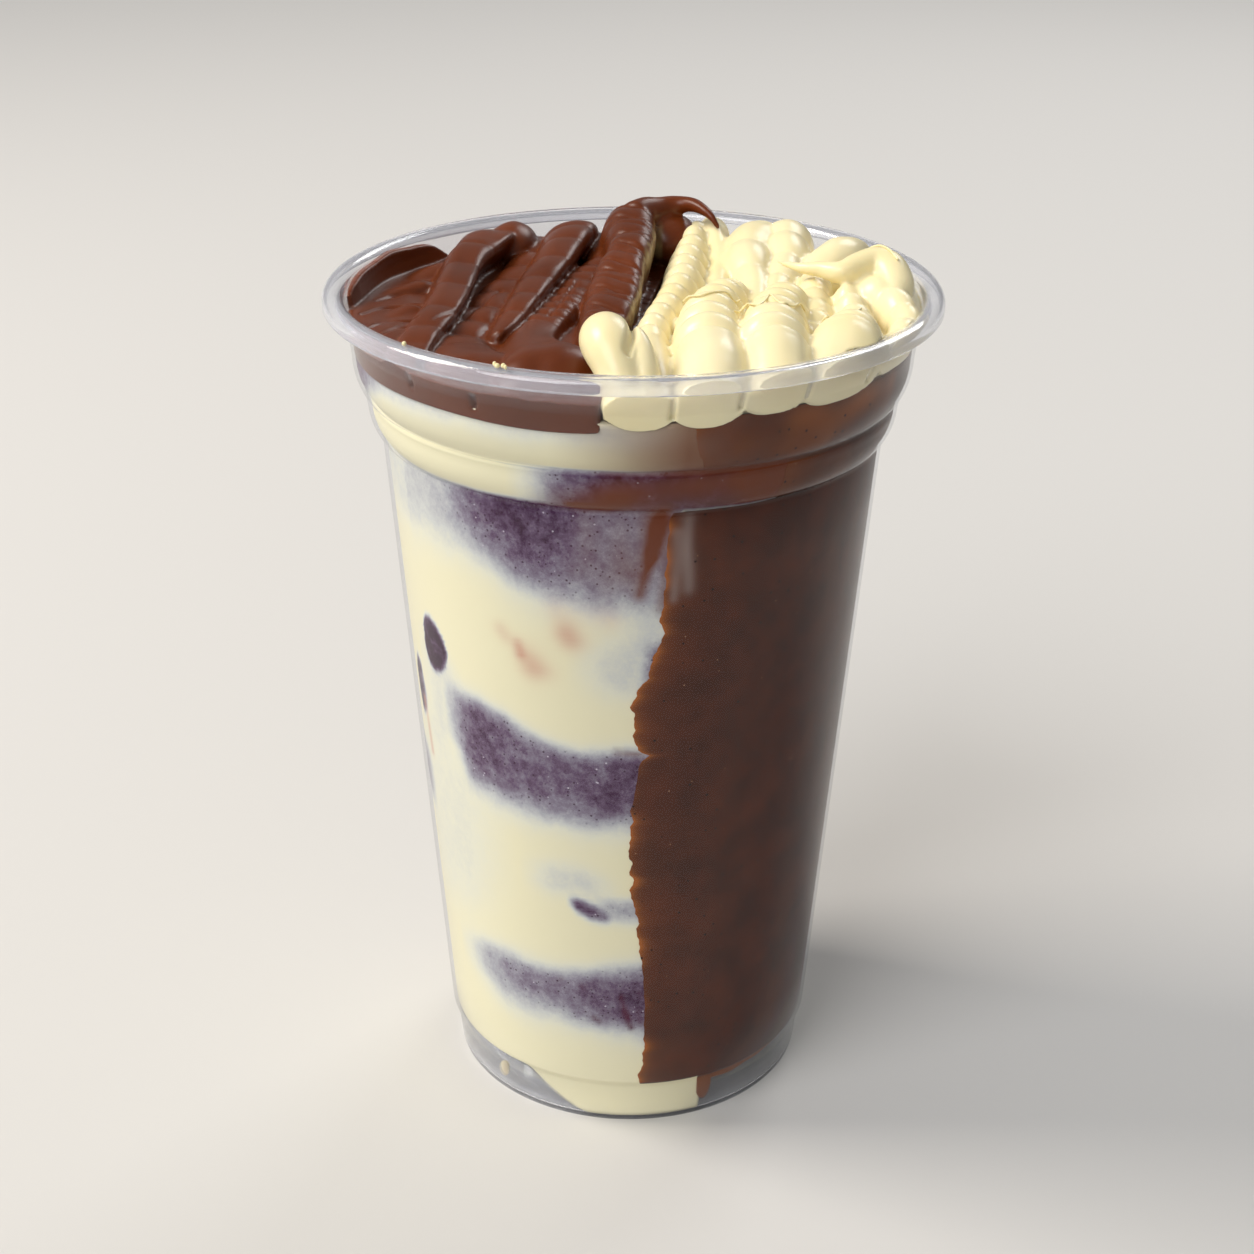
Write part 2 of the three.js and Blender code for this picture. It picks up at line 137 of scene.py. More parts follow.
def make_piece(name, points, faces, *materials):
    """Object whose mesh is the points, in mm, and the faces, a list of arrays of triangles or quads, merged
    where points meet, facing outwards."""
    mesh = bpy.data.meshes.new(name)
    mesh.from_pydata(points.reshape(-1, 3) * MM, [], [face for group in faces for face in group.tolist()])
    shape = bmesh.new()
    shape.from_mesh(mesh)
    bmesh.ops.remove_doubles(shape, verts=shape.verts, dist=1e-6)
    bmesh.ops.recalc_face_normals(shape, faces=shape.faces)
    shape.to_mesh(mesh)
    shape.free()
    mesh.shade_smooth()
    piece = bpy.data.objects.new(name, mesh)
    bpy.context.scene.collection.objects.link(piece)
    for material in materials:
        mesh.materials.append(material)
    return piece


def linear(colour):
    """sRGB hex to linear RGBA: c / 12.92 when small, else ((c + 0.055) / 1.055) to the power 2.4."""
    c = np.array([int(colour[i : i + 2], 16) / 255 for i in (1, 3, 5)])
    return (*np.where(c <= 0.04045, c / 12.92, ((c + 0.055) / 1.055) ** 2.4), 1.0)


def node(tree, kind, values={}, links={}, **settings):
    """Adds a shader node with its settings, the values of its sockets, and links into them."""
    made = tree.nodes.new(kind)
    for name, value in settings.items():
        setattr(made, name, value)
    for name, value in values.items():
        made.inputs[name].default_value = value
    for name, socket in links.items():
        tree.links.new(socket, made.inputs[name])
    return made


def new_material(name):
    """An empty node material."""
    material = bpy.data.materials.new(name)
    material.use_nodes = True
    material.node_tree.nodes.clear()
    return material, material.node_tree


# Clear polypropylene, thermoformed: glossy, a little uneven. The rolled rim refracts. The thin wall shows
# what touches it unbent, and its outward faces mirror by Fresnel's law. Light from lamps passes straight.
PLASTIC_IOR = 1.49
MILKY_SHARE = 0.1
clear_plastic, tree = new_material("clear thermoformed plastic")
place = node(tree, "ShaderNodeTexCoord")
waves = node(tree, "ShaderNodeTexNoise", {"Scale": 90.0, "Detail": 1.0}, {"Vector": place.outputs["Object"]})
uneven = node(tree, "ShaderNodeBump", {"Strength": 0.05, "Distance": 0.001}, {"Height": waves.outputs["Fac"]})
rolled = node(
    tree, "ShaderNodeBsdfPrincipled",
    {"Base Color": linear("#f7f8fb"), "Roughness": 0.04, "IOR": PLASTIC_IOR, "Transmission Weight": 1.0},
    {"Normal": uneven.outputs["Normal"]},
)
milky = node(tree, "ShaderNodeBsdfDiffuse", {"Color": linear("#e4e5ee")})
rolled = node(tree, "ShaderNodeMixShader", {0: MILKY_SHARE}, {1: rolled.outputs[0], 2: milky.outputs[0]})
passing = node(tree, "ShaderNodeBsdfTransparent", {"Color": linear("#f6f7f9")})
mirror = node(tree, "ShaderNodeBsdfGlossy", {"Roughness": 0.05}, {"Normal": uneven.outputs["Normal"]})
share = node(tree, "ShaderNodeFresnel", {"IOR": PLASTIC_IOR}, {"Normal": uneven.outputs["Normal"]})
inner_side = node(tree, "ShaderNodeNewGeometry").outputs["Backfacing"]
share = node(tree, "ShaderNodeMath", {2: 0.0}, {0: inner_side, 1: share.outputs[0]}, operation="SUBTRACT")
share = node(tree, "ShaderNodeMath", {1: -1.0}, {0: share.outputs[0]}, operation="MULTIPLY", use_clamp=True)
clear = passing.outputs[0]
sheet = node(tree, "ShaderNodeMixShader", {}, {0: share.outputs[0], 1: clear, 2: mirror.outputs[0]})
thin_wall = node(tree, "ShaderNodeAttribute", attribute_name="thin_wall").outputs["Fac"]
plastic = node(tree, "ShaderNodeMixShader", {}, {0: thin_wall, 1: rolled.outputs[0], 2: sheet.outputs[0]})
to_lamp = node(tree, "ShaderNodeLightPath").outputs["Is Shadow Ray"]
shown = node(tree, "ShaderNodeMixShader", {}, {0: to_lamp, 1: plastic.outputs[0], 2: clear})
node(tree, "ShaderNodeOutputMaterial", {}, {"Surface": shown.outputs[0]})

turn = np.linspace(0, 360, CUP_COLUMNS, endpoint=False)
cup_points = on_circle(turn[None, :], cup_profile[:, :1], cup_profile[:, 1:])
closed = np.concatenate([cup_points, cup_points[:1]])
cup = make_piece("clear_cup", closed, [grid_faces(*closed.shape[:2], True)], clear_plastic)


def points_of(piece):
    """The points of a piece's mesh, as an array in mm."""
    flat = np.empty(len(piece.data.vertices) * 3, np.float32)
    piece.data.vertices.foreach_get("co", flat)
    return flat.reshape(-1, 3).astype(float) / MM


def add_field(piece, name, values):
    """Keeps a number for each point of a piece's mesh, for its material."""
    field = piece.data.attributes.new(name, "FLOAT", "POINT")
    field.data.foreach_set("value", values.astype(np.float32).ravel())


def fade(values, start, end):
    """0 up to start and 1 from end on, with a straight line between them; start may be above end."""
    return np.clip((values - start) / (end - start), 0, 1)


# The wall counts as thin between the foot's lower edge and the flare under the rim.
cup_z = points_of(cup)[:, 2]
add_field(cup, "thin_wall", fade(cup_z, 1, 2) * fade(cup_z, FLARE_TOP[1], FLARE_TOP[1] - 3))
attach(cup, "root")
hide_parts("cup")

# ---------------------------------------------------------------------------- the acai
# Frozen acai pulp, blended to a thick purple cream with specks of skin. It fills the middle of the cup and
# shows in soft-edged bands where it pushed the cream aside; its face reaches just into the clear wall.

FILL_Z = 126.8
CORNER_Z = 8.4
CREAM_DEPTH = 0.05  # how far the cream reaches into the wall
wall_columns = np.linspace(-180, 180, 480, endpoint=False)
profile_z = outside[5:-1, 1].clip(CORNER_Z, FILL_Z)
wall_rows = np.unique(np.concatenate([np.arange(CORNER_Z, FILL_Z, 0.75), profile_z]))


def ripple(u, v, seed, waves=7):
    """Soft unevenness between about -1 and 1: a sum of sine waves in random directions, seeded."""
    draw = np.random.default_rng(seed)
    total = 0.0
    for _ in range(waves):
        direction = draw.uniform(0, 2 * math.pi)
        phase = draw.uniform(0, 2 * math.pi)
        count = draw.uniform(0.6, 1.6)
        total = total + np.sin(count * (u * math.cos(direction) + v * math.sin(direction)) + phase)
    return total / math.sqrt(waves)


# Bands of acai at the wall. Each row has angles, then the upper edge, the lower edge and how strongly the
# acai shows at each angle, and last how soft the upper and the lower edge are, in mm.
ACAI_BANDS = [
    # Under the step: palest at the left, darkest at 25 degrees, thinner towards the chocolate.
    ([-62, -54, -46, -40, -34, -27, -19, -12, -5, 2, 12], [114] * 11,
     [104, 103.8, 103.5, 103.2, 102.4, 101.2, 99.9, 99, 97.7, 97, 97],
     [0.1, 0.16, 0.26, 0.42, 0.6, 0.72, 0.74, 0.68, 0.6, 0.56, 0.54], (0.4, 3.3)),
    ([-44, -38, -30, -20, -14, -8], [114] * 6, [110, 107.6, 106, 105.8, 107.6, 109.6],
     [0, 0.34, 0.46, 0.5, 0.4, 0], (0.4, 2.6)),
    # The two below it.
    ([-54, -50, -46, -42, -38, -30, -22, -11, 0, 12],
     [77.4, 77.6, 77.1, 77.1, 77.2, 76, 73.9, 72.2, 73, 73.2],
     [70, 67.1, 63.2, 61.6, 61.2, 60.8, 60.5, 59.8, 59.8, 59.8],
     [0, 0.3, 0.62, 0.78, 0.8, 0.74, 0.72, 0.76, 0.84, 0.84], (1.6, 2.9)),
    ([-60, -52, -46, -38, -30, -20, -10, 5, 12], [29.6, 29.8, 30, 30.6, 30, 30.3, 30.8, 31.8, 31.8],
     [25, 24, 23.1, 21.5, 21.4, 21.2, 20.2, 18.6, 18.2],
     [0.05, 0.24, 0.42, 0.54, 0.66, 0.76, 0.8, 0.84, 0.84], (2.0, 3.2)),
    # Round the step.
    ([-25, -19, -14, -8, 4, 14, 24, 34, 38], [120.2] * 9, [113.5] * 9,
     [0, 0.2, 0.6, 0.8, 0.94, 0.98, 0.98, 0.8, 0], (0.35, 0.5)),
    # Haze under the chocolate spread, and under the step at the far left.
    ([-90, -78, -70, -58, -34, -10, 4, 18], [127.6] * 8, [123, 122, 122.4, 124.6, 125.2, 124.8, 124, 123],
     [0, 0.9, 0.7, 0.36, 0.24, 0.26, 0.14, 0], (0.5, 1.6)),
    ([-92, -80, -62, -46, -38], [113.8] * 5, [104, 104, 103.4, 105, 107], [0.1, 0.2, 0.24, 0.16, 0],
     (0.4, 3.4)),
    # A piece of fruit, and smaller marks.
    ([-61.6, -61, -59.5, -57, -54, -51.6, -50.2, -49.8], [83, 86, 87.4, 87.7, 87.1, 85.7, 83.9, 83.1],
     [81.6, 80.4, 79, 78.4, 79, 80.6, 82.3, 83], [0.7, 1, 1, 1, 1, 1, 1, 0.7], (0.45, 0.6)),
    ([-73, -71, -68, -65.5], [76, 78, 77, 72], [70, 67, 68, 70], [0.6, 0.95, 0.85, 0], (0.5, 0.8)),
    ([-16, -13, -9, -5, -3], [45.4, 45.2, 44.3, 43.2, 42.4], [44.2, 43, 41.7, 41, 41.2],
     [0, 0.9, 0.8, 0.5, 0], (0.6, 0.8)),
    ([-10, -4, 3, 9], [45.4, 45.8, 45.6, 45.4], [42.4, 41.6, 41.2, 41.2], [0, 0.4, 0.46, 0.4], (1.1, 1.2)),
    ([-30, -20, -10, 0], [50, 50.6, 50.4, 49.5], [46.6, 46, 46, 46], [0, 0.2, 0.26, 0], (1.8, 1.8)),
    ([-14, -4, 6, 10], [90, 92, 93, 92], [84, 83, 82, 82], [0, 0.2, 0.28, 0.32], (2.5, 2.5)),
    ([3.4, 6, 8, 11], [91] * 4, [84.6] * 4, [0, 0.4, 0.6, 0.6], (1.6, 1.4)),
    # Thinner, bluish cream down the left.
    ([-75, -62, -50, -40, -30], [66, 66, 66, 62, 58], [34, 34, 36, 40, 46], [0.1, 0.14, 0.15, 0.08, 0],
     (6, 5)),
    ([-66, -57, -50, -44], [84, 83, 82, 80], [64, 66, 70, 74], [0.05, 0.16, 0.16, 0], (2, 3)),
    # Down the left side, and the same again round the back.
    ([-100, -84, -74, -68], [61, 62, 60, 58], [50, 49, 50, 51], [0, 0.75, 0.4, 0], (1.5, 1.8)),
    ([-182, -150, -120, -94, -84], [97, 101, 104, 104, 103], [86, 89, 93, 97, 99], [0.8, 0.85, 0.7, 0.6, 0],
     (1.6, 3)),
    ([-186, -140, -108, -90], [57, 59, 62, 62], [46, 48, 52, 54], [0.8, 0.85, 0.7, 0], (1.6, 3)),
    ([-186, -130, -100, -84], [26, 29, 31, 31], [16, 19, 23, 26], [0.8, 0.85, 0.6, 0], (1.6, 3)),
]


def acai_shows(angle, z):
    """How far the acai shows at the wall, 0 to 1. For each band, how strongly it shows at the angle times
    (1 + tanh) / 2 of the distance inside each edge over that edge's softness. The bands together leave the
    product of what each leaves, and ripples of 3 to 20 mm move the edges."""
    u = np.radians(angle) * inside(z)
    swell = 0.35 * ripple(u / 5, z / 4, 3) + 0.2 * ripple(u / 1.6, z / 1.6, 5)
    left = np.ones(np.broadcast(angle, z).shape)
    for at, upper_edge, lower_edge, strength, (over, under) in ACAI_BANDS:
        for full_turn in (-360, 0, 360):
            a = angle + full_turn
            upper = np.interp(a, at, upper_edge) + swell * min(over, 1) - z
            lower = z - np.interp(a, at, lower_edge) + 0.6 * swell * under
            shows = np.interp(a, at, strength, left=0, right=0)
            left = left * (1 - shows * (1 + np.tanh(upper / over)) * (1 + np.tanh(lower / under)) / 4)
    return 1 - left


def streak(angle, z, start, end, width):
    """A soft stroke at the wall between two places (angle, z): 1 on its line, fading over width in mm."""
    to_mm = math.radians(1) * inside(z)
    along = np.array([(end[0] - start[0]) * to_mm, (end[1] - start[1]) + 0 * to_mm])
    from_start = np.array([(angle - start[0]) * to_mm, z - start[1] + 0 * to_mm])
    share = np.clip((along * from_start).sum(0) / (along * along).sum(0), 0, 1)
    off = from_start - share * along
    return np.exp(-(off * off).sum(0) / width**2)


def wall_place(points):
    """Angle from the front, and height, of points near the wall."""
    return np.degrees(np.arctan2(points[:, 0], -points[:, 1])), points[:, 2]


def colour_steps(tree, amount, steps):
    """Colour that runs through the steps, (place from 0 to 1, sRGB hex), as the amount rises."""
    ramp = node(tree, "ShaderNodeValToRGB", {}, {"Fac": amount})
    while len(ramp.color_ramp.elements) < len(steps):
        ramp.color_ramp.elements.new(0.5)
    for element, (position, colour) in zip(ramp.color_ramp.elements, steps):
        element.position = position
        element.color = linear(colour)
    return ramp.outputs["Color"]


def tinted(tree, colour, over, amount):
    """One colour socket mixed towards a colour by an amount from 0 to 1."""
    return node(
        tree, "ShaderNodeMix", {7: linear(over)}, {0: amount, 6: colour}, data_type="RGBA"
    ).outputs[2]


def speckle(tree, place, cell, share, size):
    """Amount, 0 or 1 with soft edges, of specks: one in each cell of so many mm, kept in that share of the
    cells, with a radius that is size times the cell."""
    cells = node(tree, "ShaderNodeTexVoronoi", {"Scale": 1000 / cell}, {"Vector": place})
    off = cells.outputs["Distance"]
    spot = node(tree, "ShaderNodeMapRange", {"From Min": size, "From Max": 0.6 * size}, {"Value": off})
    draw = node(tree, "ShaderNodeSeparateColor", {}, {"Color": cells.outputs["Color"]})
    kept = node(tree, "ShaderNodeMath", {1: share}, {0: draw.outputs["Red"]}, operation="LESS_THAN")
    both = {0: spot.outputs[0], 1: kept.outputs[0]}
    return node(tree, "ShaderNodeMath", {}, both, operation="MULTIPLY").outputs[0]


def food_at_wall(tree):
    """Colour at the wall: cream, greyer and bluer where it thins, then the mottled and speckled acai."""
    shows = node(tree, "ShaderNodeAttribute", attribute_name="acai").outputs["Fac"]
    blush = node(tree, "ShaderNodeAttribute", attribute_name="blush").outputs["Fac"]
    fruit = node(tree, "ShaderNodeAttribute", attribute_name="fruit").outputs["Fac"]
    cocoa = node(tree, "ShaderNodeAttribute", attribute_name="cocoa").outputs["Fac"]
    place = node(tree, "ShaderNodeTexCoord").outputs["Object"]
    # Pulp: clumps of about 3 mm, with mottling down to 0.2 mm.
    pulp = node(
        tree, "ShaderNodeTexNoise", {"Scale": 420.0, "Detail": 7.0, "Roughness": 0.8}, {"Vector": place}
    )
    swing = node(
        tree, "ShaderNodeMapRange", {"From Min": 0.35, "From Max": 0.65, "To Min": -0.2, "To Max": 0.2},
        {"Value": pulp.outputs["Fac"]}, clamp=False,
    )
    level = node(
        tree, "ShaderNodeMath", {}, {0: swing.outputs[0], 1: shows, 2: shows}, operation="MULTIPLY_ADD"
    )
    colour = colour_steps(tree, level.outputs[0], [
        (0.0, "#f2eac4"), (0.12, "#e9e6cf"), (0.26, "#d1d2cc"), (0.42, "#aeadb3"),
        (0.58, "#8b8391"), (0.76, "#665069"), (0.9, "#472a47"), (1.0, "#33102d"),
    ])
    strong = node(
        tree, "ShaderNodeMapRange", {"From Min": 0.3, "From Max": 0.6}, {"Value": shows}
    ).outputs[0]
    for cell, share, size, speck, most in [
        (0.9, 0.6, 0.24, "#34102c", 0.85),  # bits of skin, nearly black
        (1.5, 0.35, 0.12, "#d4ccd6", 0.8),  # ice
    ]:
        spots = speckle(tree, place, cell, share, size)
        amount = node(tree, "ShaderNodeMath", {}, {0: spots, 1: strong}, operation="MULTIPLY").outputs[0]
        part = node(tree, "ShaderNodeMath", {1: most}, {0: amount}, operation="MULTIPLY").outputs[0]
        colour = tinted(tree, colour, speck, part)
    colour = tinted(tree, colour, "#d29a83", blush)
    colour = tinted(tree, colour, "#4f0b30", fruit)
    return tinted(tree, colour, "#6c300d", cocoa)


def new_food(name, colour_of, **surface):
    """A food's material: its colour chain on a Principled shader with the given roughness and so on."""
    material, tree = new_material(name)
    values = {label.replace("_", " "): value for label, value in surface.items()}
    look = node(tree, "ShaderNodeBsdfPrincipled", values, {"Base Color": colour_of(tree)})
    node(tree, "ShaderNodeOutputMaterial", {}, {"Surface": look.outputs[0]})
    return material


# Face of the acai: just outside the cream where it shows, and just behind it elsewhere.
ACAI_SWING = 0.09  # mm
angles, heights = np.meshgrid(np.append(wall_columns, 180.0), wall_rows)
face_r = inside(heights) + CREAM_DEPTH + ACAI_SWING * np.clip(6 * (acai_shows(angles, heights) - 0.5), -1, 1)
floor_z = FLOOR_UNDER_Z + WALL + 0.05
TOP_RING_R = 20.0
acai_points = np.concatenate([
    on_circle(angles[:1], 0.0, floor_z),
    on_circle(angles[:1], FOOT_IN_R - WALL, floor_z),
    on_circle(angles, face_r, heights),
    on_circle(angles[:1], TOP_RING_R, FILL_Z),
    on_circle(angles[:1], 0.0, FILL_Z),
])
WALL_MIRROR = 0.02  # specular level of food that touches the wall: next to none, as no air lies between them
acai_pulp = new_food(
    "frozen acai pulp, blended", food_at_wall, Roughness=0.5, IOR=1.38, Specular_IOR_Level=WALL_MIRROR
)
acai = make_piece("acai", acai_points, [grid_faces(*acai_points.shape[:2], False)], acai_pulp)


# Soft strokes on the wall, each from a place (angle, z) to another, with a width in mm and a strength.
JUICE_BLUSH = [
    ((-25.8, 89.8), (-25.2, 88.4), 1, 1), ((-21.8, 87.8), (-21.2, 86.4), 2.5, 1.1),
    ((-13, 92.8), (-12.4, 92), 2.3, 1.1), ((-30.4, 91.3), (-29.4, 90.6), 1.5, 0.5),
    ((-68, 70.5), (-66.7, 61), 0.7, 1.2), ((-15, 97), (-4, 96), 2.2, 0.35),
]
FRUIT_SKIN = [
    ((-0.7, 26.6), (0.7, 22.4), 0.36, 0.9), ((1.6, 21.8), (2.3, 20), 0.55, 1),
    ((0.6, 23.6), (1.7, 20.8), 0.45, 0.8), ((-8.6, 21.6), (-7.2, 21), 0.45, 0.8),
    ((4.2, 23.6), (5, 20.8), 0.45, 0.6), ((4.3, 27.4), (4.9, 26.6), 0.4, 0.5),
    ((-20.9, 27.9), (-18.4, 28.6), 0.45, 0.6), ((-12.6, 28), (-11.8, 27.6), 0.4, 0.6),
]
SAUCE_STREAMS = [
    ((9, 113.4), (5.6, 106.4), 1.4, 0.75), ((5.6, 106.4), (3.2, 100), 0.9, 0.65),
    ((10.6, 112), (8.4, 98), 1, 0.8), ((6.6, 112.6), (2.4, 104), 2.2, 0.42),
    ((2, 112), (-1, 102), 3, 0.38), ((-8, 112), (-9.6, 104), 2.4, 0.24),
    ((-12, 114.4), (-4, 114), 0.7, 0.8), ((-2, 73.2), (4, 72.8), 0.5, 0.8),
    ((-44, 5), (-44, 3), 1.6, 0.6),
]
STEP_FOOT, STEP_HEAD = 113.2, 119.5  # heights of the step, as the sauce on it is shaded
FRONT_HALF = 60  # degrees; the sauce's stain is on the front alone


def strokes(angle, z, rows):
    """Sum of the rows' soft strokes, each times its strength."""
    return sum(strength * streak(angle, z, start, end, width) for start, end, width, strength in rows)


def add_wall_fields(piece):
    """The fields that the wall's colours read: acai, blush of fruit juice, threads of fruit skin, and cocoa
    of the sauce that ran over the cream: thin streams under the step, and a stain above it that deepens to
    the right, in patches on the step itself."""
    angle, z = wall_place(points_of(piece))
    blush = strokes(angle, z, JUICE_BLUSH) * (0.85 + 0.3 * ripple(angle / 3, z / 1.4, 7))
    fruit = strokes(angle, z, FRUIT_SKIN) * (0.85 + 0.4 * ripple(angle, z / 0.6, 22))
    streams = strokes(angle, z, SAUCE_STREAMS) * (0.8 + 0.3 * ripple(angle / 1.4, z / 3.5, 8))
    stain = fade(angle, -15, 12) ** 1.1 * fade(z, STEP_HEAD, STEP_HEAD + 0.8)
    stain = 0.94 * stain * (1 + 0.08 * ripple(angle / 5, z / 1.5, 10))
    on_step = fade(z, STEP_FOOT, STEP_FOOT + 0.5) * fade(z, STEP_HEAD + 1.1, STEP_HEAD + 0.3)
    on_step = on_step * fade(angle, -22, -10)
    patches = 0.45 + 0.3 * ripple(angle / 4, z / 1.8, 9) + 0.55 * fade(angle, 12, 28)
    cocoa = streams + np.where(angle < FRONT_HALF, on_step * patches + stain, 0)
    add_field(piece, "acai", acai_shows(angle, z))
    add_field(piece, "blush", np.clip(0.55 * blush, 0, 1))
    add_field(piece, "fruit", np.clip(fruit, 0, 0.9))
    add_field(piece, "cocoa", np.clip(cocoa, 0, 0.98))


add_wall_fields(acai)
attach(acai, "root")
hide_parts("acai_core")

# ---------------------------------------------------------------------------- the cream on the wall
# Sweetened milk cream, spooned down the left of the cup before the acai went in. It runs on into the foot
# ring's channel at the front, leaving pockets of air at both sides, and its face reaches into the clear wall.

COAT = 2.3
# Height and angle of the line between cream and chocolate, at the front and at the back.
FRONT_LINE = np.array([
    (8.4, 5.2), (18, 6.4), (26, 6.2), (36.4, 4.5), (42.3, 3.9), (46, 2.6), (52, 2.1), (57.6, 1.1), (65, 2.5),
    (71.4, 4), (72.6, 6), (73.4, 3.2), (76, 2.4), (79, 2.4), (81, 2), (82, 3), (85, 4), (88, 6.4),
    (92.8, 8.3), (99.5, 8.6), (106, 9.2), (113.2, 10), (113.7, 33), (119.7, 34), (120.3, 15), (128, 13),
])
# Height along the front line, and how ragged it is there.
RAGGED = np.array([
    (16, 1), (20, 0.3), (32, 0.3), (36, 1), (60, 1), (64, 0.3), (71, 0.3), (74, 1), (95, 1), (100, 0.5),
])
BACK_LINE = np.array([(8.4, 183), (30, 179), (55, 184), (80, 181), (104, 176), (128, 180)])


def front_line(z):
    """Angle of the line at the front: straight stretches, made ragged by ripples of 1 to 4 mm."""
    jagged = 0.5 * ripple(z / 0.9, 0, 11) + 0.42 * ripple(z / 0.35, 0, 12)
    return np.interp(z, *FRONT_LINE.T) + np.interp(z, *RAGGED.T) * jagged


def back_line(z):
    """Angle of the line at the back."""
    return np.interp(z, *BACK_LINE.T) + 0.5 * ripple(z / 1.5, 0, 13)


def slab_faces(rows, columns):
    """Faces of two equal grids of points, the outer then the inner one, joined round their border."""
    outer = grid_faces(rows, columns, False)
    inner = outer[:, ::-1] + rows * columns
    ids = np.arange(rows * columns).reshape(rows, columns)
    border = np.concatenate([ids[0], ids[1:, -1], ids[-1, -2::-1], ids[-2:0:-1, 0]])
    after = np.roll(border, -1)
    side = np.stack([after, border, border + rows * columns, after + rows * columns], -1)
    return [np.concatenate([outer, inner, side])]


def wall_slab(first, last, rows, columns, depth, thick, crowd=1.0):
    """Points and faces of a layer against the wall between two lines, given as functions of the height:
    the outer face lies depth inside the wall's material, the inner one thick behind it. Above 1, crowd packs
    the columns towards the first line."""
    share = np.linspace(0, 1, columns)[None, :] ** crowd
    angle = first(rows)[:, None] * (1 - share) + last(rows)[:, None] * share
    z = rows[:, None] + 0 * share
    outer = on_circle(angle, inside(z) + depth, z)
    inner = on_circle(angle, inside(z) + depth - thick, z)
    return np.concatenate([outer, inner]).reshape(-1, 3), slab_faces(len(rows), columns)


def joined(*parts):
    """Points and faces of several closed shapes as those of one."""
    points, faces, count = [], [], 0
    for part_points, part_faces in parts:
        points.append(part_points.reshape(-1, 3))
        faces += [group + count for group in part_faces]
        count += len(points[-1])
    return np.concatenate(points), faces


cream_rows = np.unique(np.concatenate([np.arange(CORNER_Z - 0.4, FILL_Z + 1.5, 0.8), outside[6:-1, 1]]))
cream_rows = cream_rows[(cream_rows > CORNER_Z - 0.5) & (cream_rows < FILL_Z + 1.5)]
UNDER = 2.0  # degrees that the cream runs on behind the chocolate
coat = wall_slab(
    lambda z: back_line(z) - 360 - UNDER, lambda z: front_line(z) + UNDER, cream_rows, 262, CREAM_DEPTH, COAT
)
channel_rows = np.linspace(WALL + 0.25, CORNER_Z - 0.2, 14)
channel_share = (channel_rows - channel_rows[0]) / (channel_rows[-1] - channel_rows[0])
channel = wall_slab(
    lambda z: np.interp(z, channel_rows, -12 - 22 * channel_share**0.8),
    lambda z: np.interp(z, channel_rows, 25 + 2 * channel_share),
    channel_rows, 60, CREAM_DEPTH, FOOT_R - FOOT_IN_R - 2 * WALL - 0.3,
)


def on_wall(angles, low, high, thick, depth, rows=10):
    """Points and faces of a layer against the wall at the angles, from a height to another at each of them;
    its thickness falls to nothing at its ends and lower edge as the square root of the distance."""
    up = np.linspace(0, 1, rows)[:, None]
    z = low + up * (high - low)
    share = np.linspace(0, 1, len(angles))[None, :]
    from_end = np.minimum(1, 6 * np.minimum(share, 1 - share))
    body = thick * np.sqrt(np.clip(np.minimum(up * 2, 1) * from_end, 0.02, 1))
    outer = on_circle(angles, inside(z) + depth, z)
    inner = on_circle(angles, inside(z) + depth - body, z)
    return np.concatenate([outer, inner]).reshape(-1, 3), slab_faces(rows, len(angles))


# A spot of cream in the air pocket at the left: an ellipse of 2 degrees by 1.3 mm.
spot = np.linspace(-46, -42, 16)
spot_half = 0.2 + 1.1 * np.sqrt(np.clip(1 - ((spot + 44) / 2) ** 2, 0, 1))
smudge = on_wall(spot, 3.9 - spot_half, 3.9 + spot_half, 0.5, CREAM_DEPTH)
sweet_cream = new_food(
    "sweetened milk cream", food_at_wall, Roughness=0.45, IOR=1.4, Specular_IOR_Level=WALL_MIRROR
)
cream = make_piece("cream_on_wall", *joined(coat, channel, smudge), sweet_cream)
add_wall_fields(cream)
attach(cream, "root")
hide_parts("cream_coat")

# ---------------------------------------------------------------------------- the chocolate on the wall
# Dark chocolate sauce, run down the right of the cup. It is thin and orange-brown along its ragged edge over
# the cream, has a grey finger of cream in it near the top, and a drip of it hangs in the foot ring's channel.

CHOCOLATE_DEPTH = 0.2
chocolate_rows = np.arange(CORNER_Z - 0.3, FILL_Z + 2.0, 0.5)


def dark_sauce(tree):
    """Colour of the sauce: nearly black brown with faint blotches, lighter where it is thin, with dark specks
    and tiny painted highlights.
    """
    thin = node(tree, "ShaderNodeAttribute", attribute_name="thin").outputs["Fac"]
    milk = node(tree, "ShaderNodeAttribute", attribute_name="milk").outputs["Fac"]
    place = node(tree, "ShaderNodeTexCoord").outputs["Object"]
    # Blotches of about 7 mm, down to 0.5 mm.
    blotch = node(
        tree, "ShaderNodeTexNoise", {"Scale": 140.0, "Detail": 5.0, "Roughness": 0.6}, {"Vector": place}
    ).outputs["Fac"]
    colour = colour_steps(tree, blotch, [(0.34, "#3b1404"), (0.5, "#471a05"), (0.68, "#522006")])
    colour = tinted(tree, colour, "#a45a1d", thin)
    colour = tinted(tree, colour, "#8c7972", milk)
    colour = tinted(tree, colour, "#1f0803", speckle(tree, place, 1.4, 0.25, 0.2))
    # Painted highlights: tiny light dots stand in for glints of light on the glossy sauce.
    return tinted(tree, colour, "#96684a", speckle(tree, place, 1.7, 0.25, 0.085))


